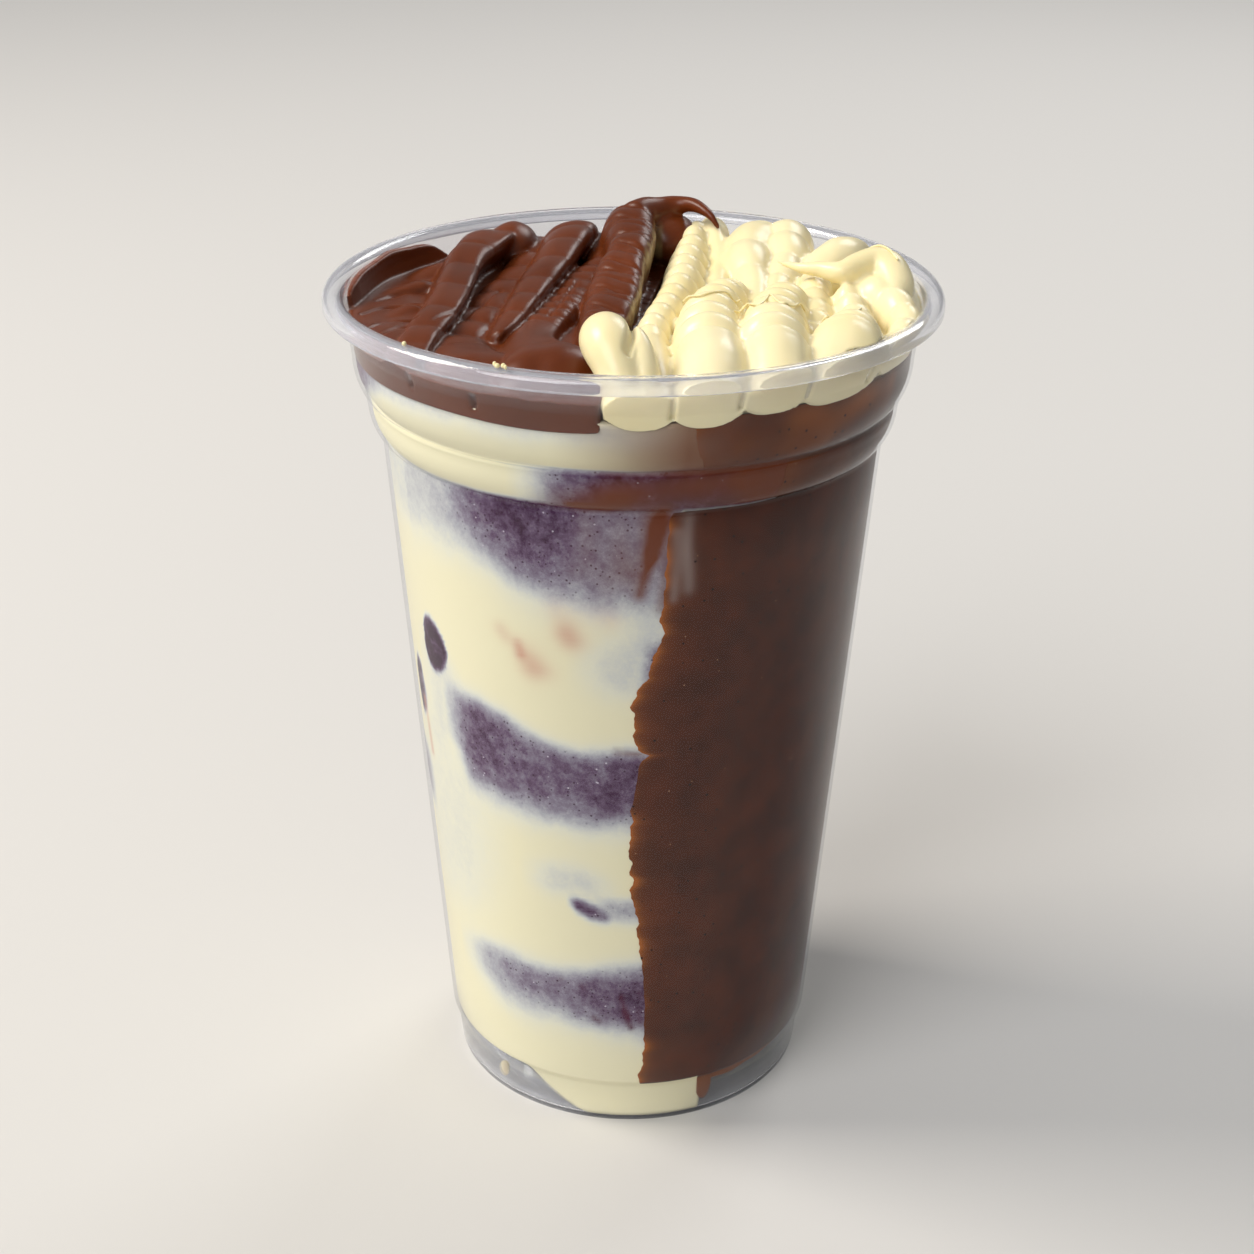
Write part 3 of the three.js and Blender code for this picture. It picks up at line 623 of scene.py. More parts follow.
# Sauce in the foot ring's channel: a thin edge that tapers to the right under the crease, and one drip.
SEEP_END = 84
seep = np.linspace(24.6, SEEP_END, 90)
seep_low = 7.9 - (1.7 + 0.35 * ripple(seep / 2.5, 0, 19)) * np.clip((SEEP_END - seep) / 50, 0.05, 1)
drip = np.linspace(24.4, 29.4, 26)
drip_low = 6.6 - 4.0 * np.sqrt(np.clip(1 - ((drip - 26.6) / 2.9) ** 2, 0, 1))
chocolate = make_piece(
    "chocolate_on_wall",
    *joined(
        wall_slab(front_line, back_line, chocolate_rows, 190, CHOCOLATE_DEPTH, COAT, 1.5),
        on_wall(seep, seep_low, 8.6 + 0 * seep, 1.2, CHOCOLATE_DEPTH),
        on_wall(drip, drip_low, 8.4 + 0 * drip, 1.6, CHOCOLATE_DEPTH + 0.02, 16),
    ),
    new_food("dark chocolate sauce", dark_sauce, Roughness=0.4, IOR=1.45, Specular_IOR_Level=WALL_MIRROR),
)
# Thin sauce: within a millimetre of the front line, more widely beside it on the collar and the step, in two
# smears on the collar, and in the foot ring. Height along the line, and how thin its edge is there:
THIN_EDGE = np.array([
    (16, 1), (19, 0.2), (32, 0.2), (35, 1), (60, 1), (63, 0.2), (71, 0.2), (74, 1), (111, 1), (113, 0),
    (120, 0), (128, 0.3),
])
COLLAR_SMEARS = [((34, 126), (62, 126.6), 2.6, 0.55), ((24, 123), (42, 122), 2.4, 0.25)]
angle, z = wall_place(points_of(chocolate))
front = angle > -90
from_line = np.clip(np.radians(angle - front_line(z)) * inside(z), 0, 60)
near_line = 1.1 * (0.7 + 0.4 * ripple(z / 0.8, 0, 16)) * np.exp(-from_line / 0.7)
near_line = near_line + 0.16 * np.exp(-from_line / 3.5)
thin = np.where(front & (z > 8.6), near_line * np.interp(z, *THIN_EDGE.T), 0)
thin = thin + np.where(z < 7.4, 0.5, 0)
thin = thin + strokes(angle, z, COLLAR_SMEARS) * (0.8 + 0.4 * ripple(angle / 3, z / 1.5, 17))
thin = thin + np.where((z > STEP_FOOT) & (angle < 90), 0.25 * np.exp(-from_line / 7), 0)
add_field(chocolate, "thin", np.clip(thin, 0, 0.95))
# Cream in the sauce: a finger in two strokes under the step, and a faint smear on the collar.
FINGER = [((13.4, 112), (13.2, 101), 1.2, 1), ((11.2, 110), (11, 99.4), 0.8, 1)]
milk = 0.7 * strokes(angle, z, FINGER) * (0.8 + 0.35 * ripple(angle, z / 2, 18))
milk = milk + fade(angle, 30, 12) * fade(z, 120, 121) * (0.08 + 0.06 * ripple(angle / 3, z, 21))
add_field(chocolate, "milk", np.clip(milk, 0, 1))
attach(chocolate, "root")
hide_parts("chocolate_coat")

# ---------------------------------------------------------------------------- the chocolate topping
# Milk chocolate spread, piped to and fro in ropes from the front of the cup to the back. They lean over deep
# grooves on their right, the last one is the tallest, and at the far left the spread lies in a low pool.

TOPPING_DEPTH = 0.25  # how far a topping reaches into the clear wall
PIPED_LOW = 127.0
PIPED_GRAIN = 0.34  # mm, the finest form that the fused ropes keep
MEETING_X = (-3.4, 2.2, 6.4)  # the toppings' meeting line: x at the front wall, the middle and the back wall
INNER_R = 43.5


def bow(values, t):
    """Smooth curve through a value at the front, in the middle and at the back, for t from -1 to 1."""
    front, middle, back = values
    return middle + t * (back - front) / 2 + t * t * ((front + back) / 2 - middle)


def closed_tube(rings):
    """Points and faces of stacked rings of points, with a fan over each end."""
    rows, columns = rings.shape[:2]
    ends = np.concatenate([rings.reshape(-1, 3), rings[[0, -1]].mean(1)])
    i = np.arange(columns)
    after = (i + 1) % columns
    last = (rows - 1) * columns
    low = np.stack([after, i, 0 * i + rows * columns], 1)
    high = np.stack([last + i, last + after, 0 * i + rows * columns + 1], 1)
    return ends, [low, high, grid_faces(rows, columns, True)]


def through(stations, steps):
    """Catmull-Rom curve through rows of numbers: each piece is the cubic that passes through its two ends,
    with half the difference of their neighbours as its slope there."""
    s = np.array(stations, float)
    s = np.concatenate([[2 * s[0] - s[1]], s, [2 * s[-1] - s[-2]]])
    place = np.linspace(0, len(s) - 3 - 1e-6, steps)
    k, f = place.astype(int), (place % 1)[:, None]
    p0, p1, p2, p3 = s[k], s[k + 1], s[k + 2], s[k + 3]
    return 0.5 * (
        2 * p1 + (p2 - p0) * f + (2 * p0 - 5 * p1 + 4 * p2 - p3) * f**2 + (3 * p1 - p0 - 3 * p2 + p3) * f**3
    )


def piped(stations, low, lean=0.0, pleat=None, flat=1.0, wave=0.12, seed=0, steps=260, sides=60):
    """Rope through stations (x, y, height of its crest, half width) that stands on low. Its section is two
    half ellipses about a middle height, squarer where flat is under 1 and sheared to the right by lean.
    Pleats, (depth, spacing, where they start and end as shares of the length), ring it: depth times (|sin| to
    the power 0.6, less 0.7). Its ends are domes as long as it is wide."""
    path = through(stations, steps)
    x, y, crest, half = (path[:, [i]] for i in range(4))
    ahead = np.gradient(path[:, :2], axis=0)
    ahead /= np.linalg.norm(ahead, axis=1)[:, None]
    gone = np.concatenate([[0], np.cumsum(np.linalg.norm(np.diff(path[:, :3], axis=0), axis=1))])[:, None]
    left = np.clip(np.minimum(gone, gone[-1] - gone) / half, 0, 1)
    dome = np.sqrt(1 - (1 - left).clip(0, 0.98) ** 2)
    a = np.linspace(0, 2 * math.pi, sides, endpoint=False)[None, :]
    out = np.sign(np.cos(a)) * np.abs(np.cos(a)) ** flat
    up = np.sign(np.sin(a)) * np.abs(np.sin(a)) ** flat
    swell = wave * ripple(gone / 4, 2 * np.cos(a), seed + 20)
    fold = 0 * gone
    if pleat:
        depth, spacing, first, last = pleat
        share = gone / gone[-1]
        pleated = fade(share, first, first + 0.04) * fade(share, last, last - 0.04)
        turn = gone / spacing + 0.16 * ripple(gone / 7, 0 * gone, seed + 40) + 0.07 * np.cos(a)
        fold = depth * (np.abs(np.sin(math.pi * turn)) ** 0.6 - 0.7) * pleated
    middle = low + 0.45 * (crest - low)
    width = (half + swell + 0.55 * fold) * dome
    tall = np.where(up > 0, (crest - middle) + swell + fold * np.clip(up * 2, 0, 1), middle - low) * dome
    side = width * out + lean * (crest - low) * (up - 0.5) * dome
    points = np.stack([x + side * ahead[:, [1]], y - side * ahead[:, [0]], middle + tall * up], -1)
    return closed_tube(points)


def blob(middle, size, lean=0.0, rows=40, columns=64):
    """Ellipsoid about a middle with half sizes along x, y and z, sheared by lean along x."""
    lat = np.linspace(-math.pi / 2, math.pi / 2, rows + 2)[1:-1, None]
    turn = np.linspace(0, 2 * math.pi, columns, endpoint=False)[None, :]
    across, along = np.cos(lat) * np.cos(turn), np.cos(lat) * np.sin(turn)
    unit = np.stack(np.broadcast_arrays(across, along, np.sin(lat)), -1)
    unit[..., 0] += lean * unit[..., 2]
    return closed_tube(np.array(middle) + unit * size)


def drawn_off(stations, away, steps=70, sides=28):
    """Round strand along a curve through the stations (x, y, z, radius), with domed ends. The direction away,
    never along the curve, turns the rings."""
    path = through(stations, steps)
    middle, radius = path[:, :3], path[:, 3]
    ahead = np.gradient(middle, axis=0)
    ahead /= np.linalg.norm(ahead, axis=1)[:, None]
    first = np.cross(ahead, away)
    first /= np.linalg.norm(first, axis=1)[:, None]
    second = np.cross(ahead, first)
    gone = np.concatenate([[0], np.cumsum(np.linalg.norm(np.diff(middle, axis=0), axis=1))])
    left = np.minimum(gone, gone[-1] - gone) / radius.clip(0.05)
    dome = np.sqrt(np.clip(1 - np.clip(1 - left, 0, 0.98) ** 2, 0, 1))
    a = np.linspace(0, 2 * math.pi, sides, endpoint=False)
    ring = (radius * dome)[:, None, None] * (
        first[:, None] * np.cos(a)[None, :, None] + second[:, None] * np.sin(a)[None, :, None]
    )
    return closed_tube(middle[:, None] + ring)


def bed(side, top, low, inset, seed):
    """Block under the ropes: a D-shaped outline against the wall, on one side (-1 or 1) of the line where
    the two toppings meet, from an uneven lower edge at low to a flat top."""
    t = np.linspace(-1, 1, 60)
    split = bow(MEETING_X, t) + side * 0.15
    divide = np.stack([split, t * np.sqrt(INNER_R**2 - split**2)], 1)
    start, end = np.degrees(np.arctan2(divide[[0, -1], 0], -divide[[0, -1], 1]))
    round_wall = np.linspace(end - 360 if side < 0 else end, start, 140)[1:-1]
    rings = []
    for level in np.linspace(0, 1, 6):
        z = low + level * (top - low)
        uneven = 0.4 * (1 - level) ** 3 * ripple(round_wall / 11, 0, seed)
        wall = on_circle(round_wall, inside(z) - inset, z + uneven)
        line = np.column_stack([divide * (inside(z) - inset) / INNER_R, 0 * t + z])
        rings.append(np.concatenate([line, wall]))
    return closed_tube(np.array(rings))


def fused(name, parts, grain):
    """Points and faces of one closed skin round overlapping closed shapes, as piped paste runs together, on a
    grid of that many mm, then eased so that the grid doesn't show."""
    rough = make_piece(name, *joined(*parts))
    skin = rough.modifiers.new("run together", "REMESH")
    skin.mode, skin.voxel_size, skin.adaptivity = "VOXEL", grain * MM, 0.0
    ease = rough.modifiers.new("ease", "SMOOTH")
    ease.factor, ease.iterations = 0.5, 2
    mesh = rough.evaluated_get(bpy.context.evaluated_depsgraph_get()).data
    points = np.empty(len(mesh.vertices) * 3, np.float32)
    mesh.vertices.foreach_get("co", points)
    corners = np.empty(len(mesh.loops), np.int32)
    mesh.loops.foreach_get("vertex_index", corners)
    first = rough.data
    bpy.data.objects.remove(rough)
    bpy.data.meshes.remove(first)
    return points.reshape(-1, 3).astype(float) / MM, [corners.reshape(-1, 4)]


def place_points(piece, points):
    """Puts points, in mm, back into a piece's mesh."""
    piece.data.vertices.foreach_set("co", (points * MM).astype(np.float32).ravel())
    piece.data.update()


def press_to_wall(piece, reach, gaps=()):
    """Flattens what passes the wall against it, and draws what is within reach, in mm, out to it. Each gap,
    (angle, low, high, half width, depth), leaves an upright groove of air there."""
    points = points_of(piece)
    angle, z = wall_place(points)
    r = np.hypot(points[:, 0], points[:, 1])
    wall = inside(z) + TOPPING_DEPTH
    near = (r > wall - reach) & (z < CUP_H - 1)
    for at, low, high, half, depth in gaps:
        off = np.radians(angle - at) * wall / half
        wall = wall - depth * np.exp(-(off**2)) * fade(z, low, low + 0.6) * fade(z, high, high - 0.6)
    scale = np.where(near | (r > wall), wall / r.clip(1), 1)
    scale = np.where(z > CUP_H - 0.2, 1, scale)
    points[:, :2] *= scale[:, None]
    place_points(piece, points)


def scored(piece, lines, roughness=0.1, seed=0):
    """Sinks fine creases into the top: for each line, (places (x, y), half width, depth), a point goes down
    by the depth times exp of minus the squared share of the half width that it is off the line. The whole
    top also gets an unevenness with waves of 2 to 10 mm."""
    points = points_of(piece)
    x, y, z = points.T
    drop = roughness * (ripple(x / 1.7, y / 2.2, seed) + 0.6 * ripple(x / 0.8, z / 0.8, seed + 1))
    for places, half, depth in lines:
        path = through(places, 6 * len(places))
        nearest = np.full(len(x), 1e9)
        for (x0, y0), (x1, y1) in zip(path[:-1], path[1:]):
            run_x, run_y = x1 - x0, y1 - y0
            share = np.clip(((x - x0) * run_x + (y - y0) * run_y) / (run_x**2 + run_y**2), 0, 1)
            off = (x - x0 - share * run_x) ** 2 + (y - y0 - share * run_y) ** 2
            nearest = np.minimum(nearest, off)
        drop = drop + depth * np.exp(-nearest / half**2)
    points[:, 2] -= np.where(z > PIPED_LOW + 1.5, drop, 0)
    place_points(piece, points)


def spread_colour(tree):
    """Colour of the spread: warm milk chocolate, a little uneven, with a dry khaki crust where marked."""
    place = node(tree, "ShaderNodeTexCoord").outputs["Object"]
    crust = node(tree, "ShaderNodeAttribute", attribute_name="crust").outputs["Fac"]
    tone = node(tree, "ShaderNodeTexNoise", {"Scale": 60.0, "Detail": 3.0}, {"Vector": place})
    colour = colour_steps(tree, tone.outputs["Fac"], [(0.3, "#54240b"), (0.7, "#662e10")])
    return tinted(tree, colour, "#9b8560", crust)


milk_chocolate = new_food(
    "milk chocolate spread", spread_colour, Roughness=0.34, IOR=1.46, Specular_IOR_Level=0.35,
    Subsurface_Weight=0.1, Subsurface_Radius=(1.0, 0.4, 0.2), Subsurface_Scale=0.001,
)
TALL_ROPE = np.array([
    (-4.6, -22, 134.6, 3.2), (-3.9, -15, 135.7, 3.6), (-3, -7.7, 136.7, 4.1), (-2.6, -0.6, 137.5, 4.2),
    (-2.1, 5.5, 138.5, 3.9), (-1.1, 11, 139.5, 3.8), (-0.9, 17.5, 140.2, 4), (-1.5, 25.5, 140.9, 4.3),
    (-1.2, 31, 140.2, 4.3), (-0.8, 38, 137, 4),
])
# The film's angles, and its upper edge: highest in the middle, 5 mm above the pool.
film = np.linspace(-136, -88, 70)
film_top = 129.6 + 5.1 * np.clip(1 - ((film + 111) / 25) ** 4, 0, 1) + 0.25 * ripple(film / 3, 0, 33)
chocolate_parts = [
    bed(-1, 131.0, PIPED_LOW - 0.4, -0.2, 31),
    # Film drawn up the wall at the left.
    on_wall(film, 128.6 + 0 * film, film_top, 1.3, TOPPING_DEPTH, 14),
    # The first rope: a flat ribbon with sharp edges, wider at its rear.
    piped([(-32.2, -30.5, 132, 2.6), (-31, -20.6, 133.2, 2.8), (-29.4, -9.8, 134.1, 3),
           (-28.4, -1.5, 134.7, 3.1), (-28, 6.5, 135.1, 3.2), (-27.6, 15, 135.6, 3.4),
           (-26.2, 21.5, 136.2, 3.9), (-24.8, 28, 136.5, 4.6), (-24, 36, 134, 4.6)],
          129.4, lean=0.3, flat=0.55, pleat=(0.4, 8.5, 0.1, 0.8), seed=1),
    # The second one, low and wide.
    piped([(-20.6, -35, 131, 6), (-22, -29, 133, 6.2), (-24.2, -22, 132.3, 4.8), (-26.2, -14, 131.7, 4.1),
           (-24, -6.1, 132.1, 4.1), (-21.8, 3, 132.5, 4), (-20.4, 9.8, 132.8, 3.8), (-19, 17, 132.8, 3.4),
           (-18, 24, 133, 3.2), (-17.2, 31, 133.6, 3.4), (-16.4, 38, 133.5, 3.4)],
          129, lean=0.3, flat=0.85, pleat=(0.6, 7, 0.2, 0.95), seed=2),
    # The third, narrow and high, drawn to a point at its front.
    piped([(-19.9, -17.5, 132.9, 0.9), (-18.9, -13.4, 133.5, 2), (-17.2, -4.7, 134.4, 2.6),
           (-15.8, 2.6, 135, 2.9), (-14.1, 10.9, 135.8, 3.3), (-12.8, 18.1, 136.6, 3.6),
           (-11.4, 25.9, 137.4, 3.9), (-11, 31, 137.2, 4.4), (-11, 38, 135, 4.2)],
          129.4, lean=0.3, flat=0.7, pleat=(0.4, 8, 0.1, 0.9), seed=3),
    # The fourth, low, with fine wrinkles.
    piped([(-9.8, -39, 132, 6.8), (-11, -32, 135.2, 7), (-13, -24.6, 134.2, 5.2),
           (-14.4, -17.4, 133, 3.9), (-13.8, -11, 132.9, 3.7), (-11.7, -3.6, 133.3, 3.8),
           (-9.2, 6.4, 133.7, 3.6), (-7.7, 14.1, 134.2, 3.3), (-5.6, 20.3, 134.9, 3),
           (-5.2, 28, 135.6, 2.8), (-5, 36, 135, 2.6)],
          128.6, lean=0.2, flat=0.9, pleat=(0.5, 3.6, 0.36, 0.8), seed=4),
    # The fifth, a tall broad one with a steep right side.
    piped(TALL_ROPE, 129.5, lean=0.12, flat=0.62, pleat=(0.6, 7.4, 0.1, 0.8), seed=5),
    # The rear of the first rope, and what fills the rear under the tail.
    blob((-21, 31.5, 132.4), (4.4, 6, 4.2)),
    blob((5, 30, 134.4), (5.2, 6.5, 4.6)),
    # Folds of the pool at the left.
    blob((-36, -14, 129.4), (6, 9, 2.7)),
    piped([(-41, -9, 129.9, 2.4), (-37.4, -3, 131, 2.8), (-34, 0.4, 131.8, 2.6), (-31, 0, 131.8, 2.2)],
          128.6, lean=0.3, seed=17),
    piped([(-38, -20, 130.8, 2.6), (-35.4, -12.6, 131.7, 3), (-33, -8.6, 132.2, 2.6)],
          128.6, lean=0.3, seed=18),
    piped([(-42, 3, 129.9, 2.4), (-38.6, 8.4, 131.1, 2.9), (-34.6, 11.6, 132, 2.8),
           (-31.4, 11, 132.4, 2.4)], 128.6, lean=0.3, seed=19),
    piped([(-40, 12, 130, 2.2), (-36, 17.6, 131.4, 2.8), (-32, 21, 132.6, 2.6), (-29, 21, 133, 2.2)],
          128.6, seed=22),
    # The tail, drawn off the tall rope over the cream.
    drawn_off([(-2, 25, 138.6, 3), (1.4, 28.6, 139.2, 2.7), (4.2, 30.4, 139.6, 2.1),
               (6.8, 30.6, 140.3, 1.5), (9.2, 29.2, 140.5, 1.15), (11.4, 26.4, 139.9, 0.8),
               (12.6, 25.2, 138.9, 0.52), (13.3, 25, 137.8, 0.32)], away=(0, 0, 1)),
]
chocolate_top = make_piece("piped_chocolate", *fused("rough", chocolate_parts, PIPED_GRAIN), milk_chocolate)
# Fine scratches run aslant across the tall rope at these places along y, and swirls run through the pool.
SCRATCH_Y = (-17, -13.4, -9.2, -6.8, -3.1, 0.4, 3.2, 7.3, 9.8, 14.2, 18.5, 21.3, 26)
SCRATCH_REACH = 3.8


def rope_x(y):
    """x of the tall rope's middle line."""
    return np.interp(y, *TALL_ROPE[:, 1::-1].T)


scratches = [
    ([(rope_x(y + 2.4) - SCRATCH_REACH, y + 2.4), (rope_x(y), y), (rope_x(y - 2.6) + SCRATCH_REACH, y - 2.6)],
     0.4, 0.3)
    for y in SCRATCH_Y
]
scored(chocolate_top, [
    ([(-41.5, -3), (-38, 1), (-34, 0.5), (-31, -1.5)], 0.35, 0.5),
    ([(-39, -12), (-36.5, -7.5), (-33.5, -6), (-31.5, -6.5)], 0.4, 0.6),
    ([(-40, 4), (-37, 8), (-33.5, 9), (-31, 8)], 0.5, 0.4),
    ([(-37, -16), (-34.5, -12.5), (-32, -12.5)], 0.3, 0.4),
    ([(-29, -14), (-26, -9), (-23.4, -2), (-21, 6)], 0.35, 0.3),
    ([(-12.6, -9), (-10.4, 0), (-8.8, 8)], 0.3, 0.3),
    *scratches,
], seed=50)
# The dry crust: a ragged strip 1.4 mm wide down the tall rope's right edge. Its places are (y, x).
CRUST_LINE = np.array([(-15, 0.1), (-6, 1.5), (0, 2), (9, 2.3), (13, 3.1), (19.4, 3.4), (27, 3.4)])
x, y, z = points_of(chocolate_top).T
crust = np.exp(-(((x - np.interp(y, *CRUST_LINE.T)) / 0.7) ** 4)) * fade(y, -16, -13) * fade(y, 27, 24)
crust = crust * np.clip(0.75 + 0.45 * ripple(y / 0.5, z / 0.5, 51), 0, 1) * (z > 131.5)
add_field(chocolate_top, "crust", crust)
press_to_wall(chocolate_top, 0.7, [
    (-45.5, 128.2, 131.4, 0.4, 1.0), (-29.5, 127.8, 130.6, 0.4, 1.0), (-4.2, 127.5, 135, 0.5, 1.2),
])
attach(chocolate_top, "root")
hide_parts("chocolate_topping")

# ---------------------------------------------------------------------------- the cream topping
# Ivory cream of white chocolate, piped to and fro so that each rope is pleated behind a smooth rounded front.
# It starts in a curl at the front wall and ends in a hook that was drawn off over the right.


def ivory(tree):
    """Colour of the cream: pale ivory, a trace yellower in places."""
    place = node(tree, "ShaderNodeTexCoord").outputs["Object"]
    tone = node(tree, "ShaderNodeTexNoise", {"Scale": 50.0, "Detail": 2.0}, {"Vector": place})
    return colour_steps(tree, tone.outputs["Fac"], [(0.3, "#ecdda9"), (0.7, "#f1e5bb")])


ivory_cream = new_food(
    "ivory white chocolate cream", ivory, Roughness=0.3, IOR=1.45, Specular_IOR_Level=0.5,
    Subsurface_Weight=0.12, Subsurface_Radius=(1.0, 0.75, 0.4), Subsurface_Scale=0.0015,
)
cream_parts = [
    bed(1, 131.0, PIPED_LOW + 1.3, 0.35, 32),
    # The first rope from the front wall, narrow, and a short one beside its rear.
    blob((2, -41.6, 130.4), (5.4, 4, 3.5)),
    piped([(4.6, -42, 131.5, 2.8), (4.2, -36, 134, 2.9), (3.6, -29, 135, 2.9), (3, -21, 135.3, 2.7),
           (3.6, -14.5, 135.5, 2.7), (5, -8.3, 135.6, 2.9), (6.1, -2.2, 135.7, 3.1), (7.2, 3.8, 136, 3.4),
           (7.8, 9.3, 136.3, 3.6), (8.2, 14.6, 136.7, 3.6), (9, 20.5, 137.3, 3.3),
           (9.6, 27.3, 137.8, 2.7), (10, 34, 136.6, 2.3), (10, 41, 134, 2.2)],
          127.2, pleat=(1.3, 4.8, 0.22, 0.9), seed=6),
    piped([(13, 3, 133.6, 2), (13.2, 10.5, 134.6, 2.3), (13.8, 15.7, 135.2, 2.4), (13.6, 21, 136.2, 2.3),
           (12.9, 27, 137.4, 2.2), (12, 33, 137.8, 2.1), (13.5, 40, 135.6, 2.6)], 129.6, seed=7),
    # The second: a large round front, pleats, and a rounded end behind them.
    piped([(10.8, -48, 133.4, 4.9), (11.2, -42, 134.8, 5.1), (11.6, -38, 136.6, 5.3),
           (11.8, -34, 137.9, 5.5), (11.6, -27, 138.5, 5.3), (11.6, -20, 138.3, 5), (11.9, -14, 138, 4.8),
           (12.8, -8, 137.5, 4.5), (14.2, -2, 136.8, 4), (15.6, 3.4, 135.6, 3.2)],
          127.2, pleat=(2.0, 5.4, 0.34, 0.98), wave=0.08, seed=8),
    piped([(19, -6, 132.6, 2.2), (18.8, -0.7, 134.4, 2.4), (18.7, 5.1, 135.4, 2.7),
           (18.2, 10.2, 136.7, 3.3), (17.9, 15.4, 137.9, 4.2), (18.6, 22.5, 138.7, 4.9),
           (20, 28.4, 138.5, 5), (20.6, 38, 134.5, 4.6)],
          129.6, pleat=(0.7, 9, 0.2, 0.85), wave=0.2, seed=9),
    # The third: broad at its shoulders, narrower where it meets the wall.
    piped([(20.4, -45, 133, 4.6), (20.8, -40, 134.4, 4.6), (21, -37, 136.2, 4.5), (20.9, -32, 138.5, 5),
           (20.6, -26.5, 139, 5.3), (21, -19, 138.7, 4.9), (22, -11, 138.1, 4.5), (23.2, -5, 137.3, 4),
           (24.3, 0, 135.8, 3)], 128.2, pleat=(1.9, 5.4, 0.3, 0.98), wave=0.08, seed=10),
    piped([(22, -2, 133.4, 2.4), (22.5, 5.3, 135.3, 2.8), (23.7, 11.2, 136.5, 3.3),
           (24.4, 16.5, 137.7, 4), (24.2, 22, 138.8, 4.6), (24.3, 28.2, 138.6, 4.7), (25, 36, 134.5, 4)],
          129.6, pleat=(0.7, 8, 0.2, 0.85), wave=0.2, seed=11),
    # The fourth, widest at the wall, with low ropes behind it.
    piped([(30, -40, 132.6, 5.8), (30, -35, 134, 5.9), (30, -31.5, 136.4, 6), (30.8, -27, 138.5, 5.8),
           (31.8, -22, 138.1, 4.9), (32.8, -17, 136.6, 3.8), (33.2, -11, 136, 2.9),
           (32.9, -5.6, 136.4, 2.7), (32.4, 0, 136, 2.5)],
          127.8, pleat=(1.6, 4.6, 0.35, 0.98), wave=0.08, seed=12),
    piped([(26.8, -19, 133.4, 2.6), (27.5, -12, 134.8, 2.8), (27.7, -5, 135.8, 2.8),
           (27.8, 3, 136.3, 2.8), (28.4, 10, 135.6, 3)], 129.6, pleat=(0.8, 4.8, 0.1, 0.95), seed=13),
    # The last one, round the right wall, folded over at its rear.
    piped([(33.4, 4, 136, 2.6), (34.6, -0.4, 137.4, 3.1), (37.2, -3.4, 137.7, 3.3),
           (39.8, -7.4, 136.9, 3), (40.8, -13, 136, 2.8), (39.4, -19.4, 135.3, 2.8),
           (36.4, -25, 134, 2.6)], 129, pleat=(0.8, 5.2, 0.2, 0.95), seed=14),
    piped([(40.6, -9, 134.4, 2.6), (41.4, 0, 134.8, 2.8), (40.6, 9, 135, 3), (37.6, 17, 135.6, 3.4)],
          129, seed=15),
    piped([(26.8, 9, 134.6, 3.2), (29.6, 13, 137.4, 3.9), (32.6, 17, 138.6, 4.3), (34, 22, 137.6, 4.2),
           (32, 28, 135, 4)], 129.4, wave=0.2, seed=16),
    # The curl at the front: a lobe rolled over a smaller one.
    drawn_off([(0.8, -42, 128.6, 2.6), (0.4, -41.4, 131, 3), (-0.9, -39.6, 134.4, 3.3),
               (-2.2, -36.8, 136.9, 3.9), (-2.9, -33.6, 137.2, 3.8), (-2.2, -30.4, 135, 2.6)],
              away=(1, 0, 0)),
    drawn_off([(2.8, -41.4, 129, 2.3), (2.7, -40.6, 133, 2.3), (2.3, -38.8, 136, 1.9),
               (1.5, -36.2, 137.9, 1.5), (0.3, -33.4, 138.4, 1.3)], away=(1, 0, 0)),
    # The hook, drawn off to the left over the ropes.
    drawn_off([(21.9, 5.4, 137.9, 0.2), (23.4, 3.7, 138, 0.45), (25.8, 1.4, 138, 0.85),
               (28.8, 0.2, 138.1, 1.3), (31.6, -1.2, 138, 1.8), (34.2, 0.2, 138.5, 2.3),
               (36.8, 1.6, 138.6, 2.7), (38.9, 0.4, 138, 2.9), (39.8, -2.4, 136.4, 2.9),
               (39.6, -5.4, 134.4, 2.8)], away=(0, 0, 1)),
]
IVORY_GRAIN = 0.37  # mm, a little coarser than the chocolate's, as this half has more skin
cream_skin, cream_faces = fused("rough", cream_parts, IVORY_GRAIN)


def laid_on(skin, places, radius, steps=60):
    """Thin thread along a curve through the places (x, y), lying on the highest points of a skin near it."""
    path = through(places, steps)
    top = []
    for x, y in path:
        near = np.hypot(skin[:, 0] - x, skin[:, 1] - y) < 0.6
        top.append(skin[near, 2].max() if near.any() else PIPED_LOW)
    # A running mean of seven heights lets the thread bridge small hollows.
    heights = np.convolve(np.pad(top, 3, "edge"), np.ones(7) / 7, "valid") + 0.5 * radius
    return drawn_off(np.column_stack([path, heights, np.full(steps, radius)]), (0.3, 0.2, 1), 2 * steps, 8)


# Threads that the piping tip left across the ropes: the places along each, and its radius.
THREADS = [
    ([(15, -18.5), (16.8, -15.4), (18.6, -20.6), (20.3, -17), (22, -21.6), (24, -18.8), (25.6, -15)], 0.16),
    ([(27, -17.6), (28.3, -20.4), (29.6, -16.8), (31.8, -19.6), (33.6, -16.8)], 0.18),
    ([(7.6, -12.4), (10.2, -15.4), (13.8, -13.6), (16.2, -10.9)], 0.15),
    ([(35, 4.6), (37.6, 2.8), (40, -2)], 0.18),
]
threads = [laid_on(cream_skin, places, radius) for places, radius in THREADS]
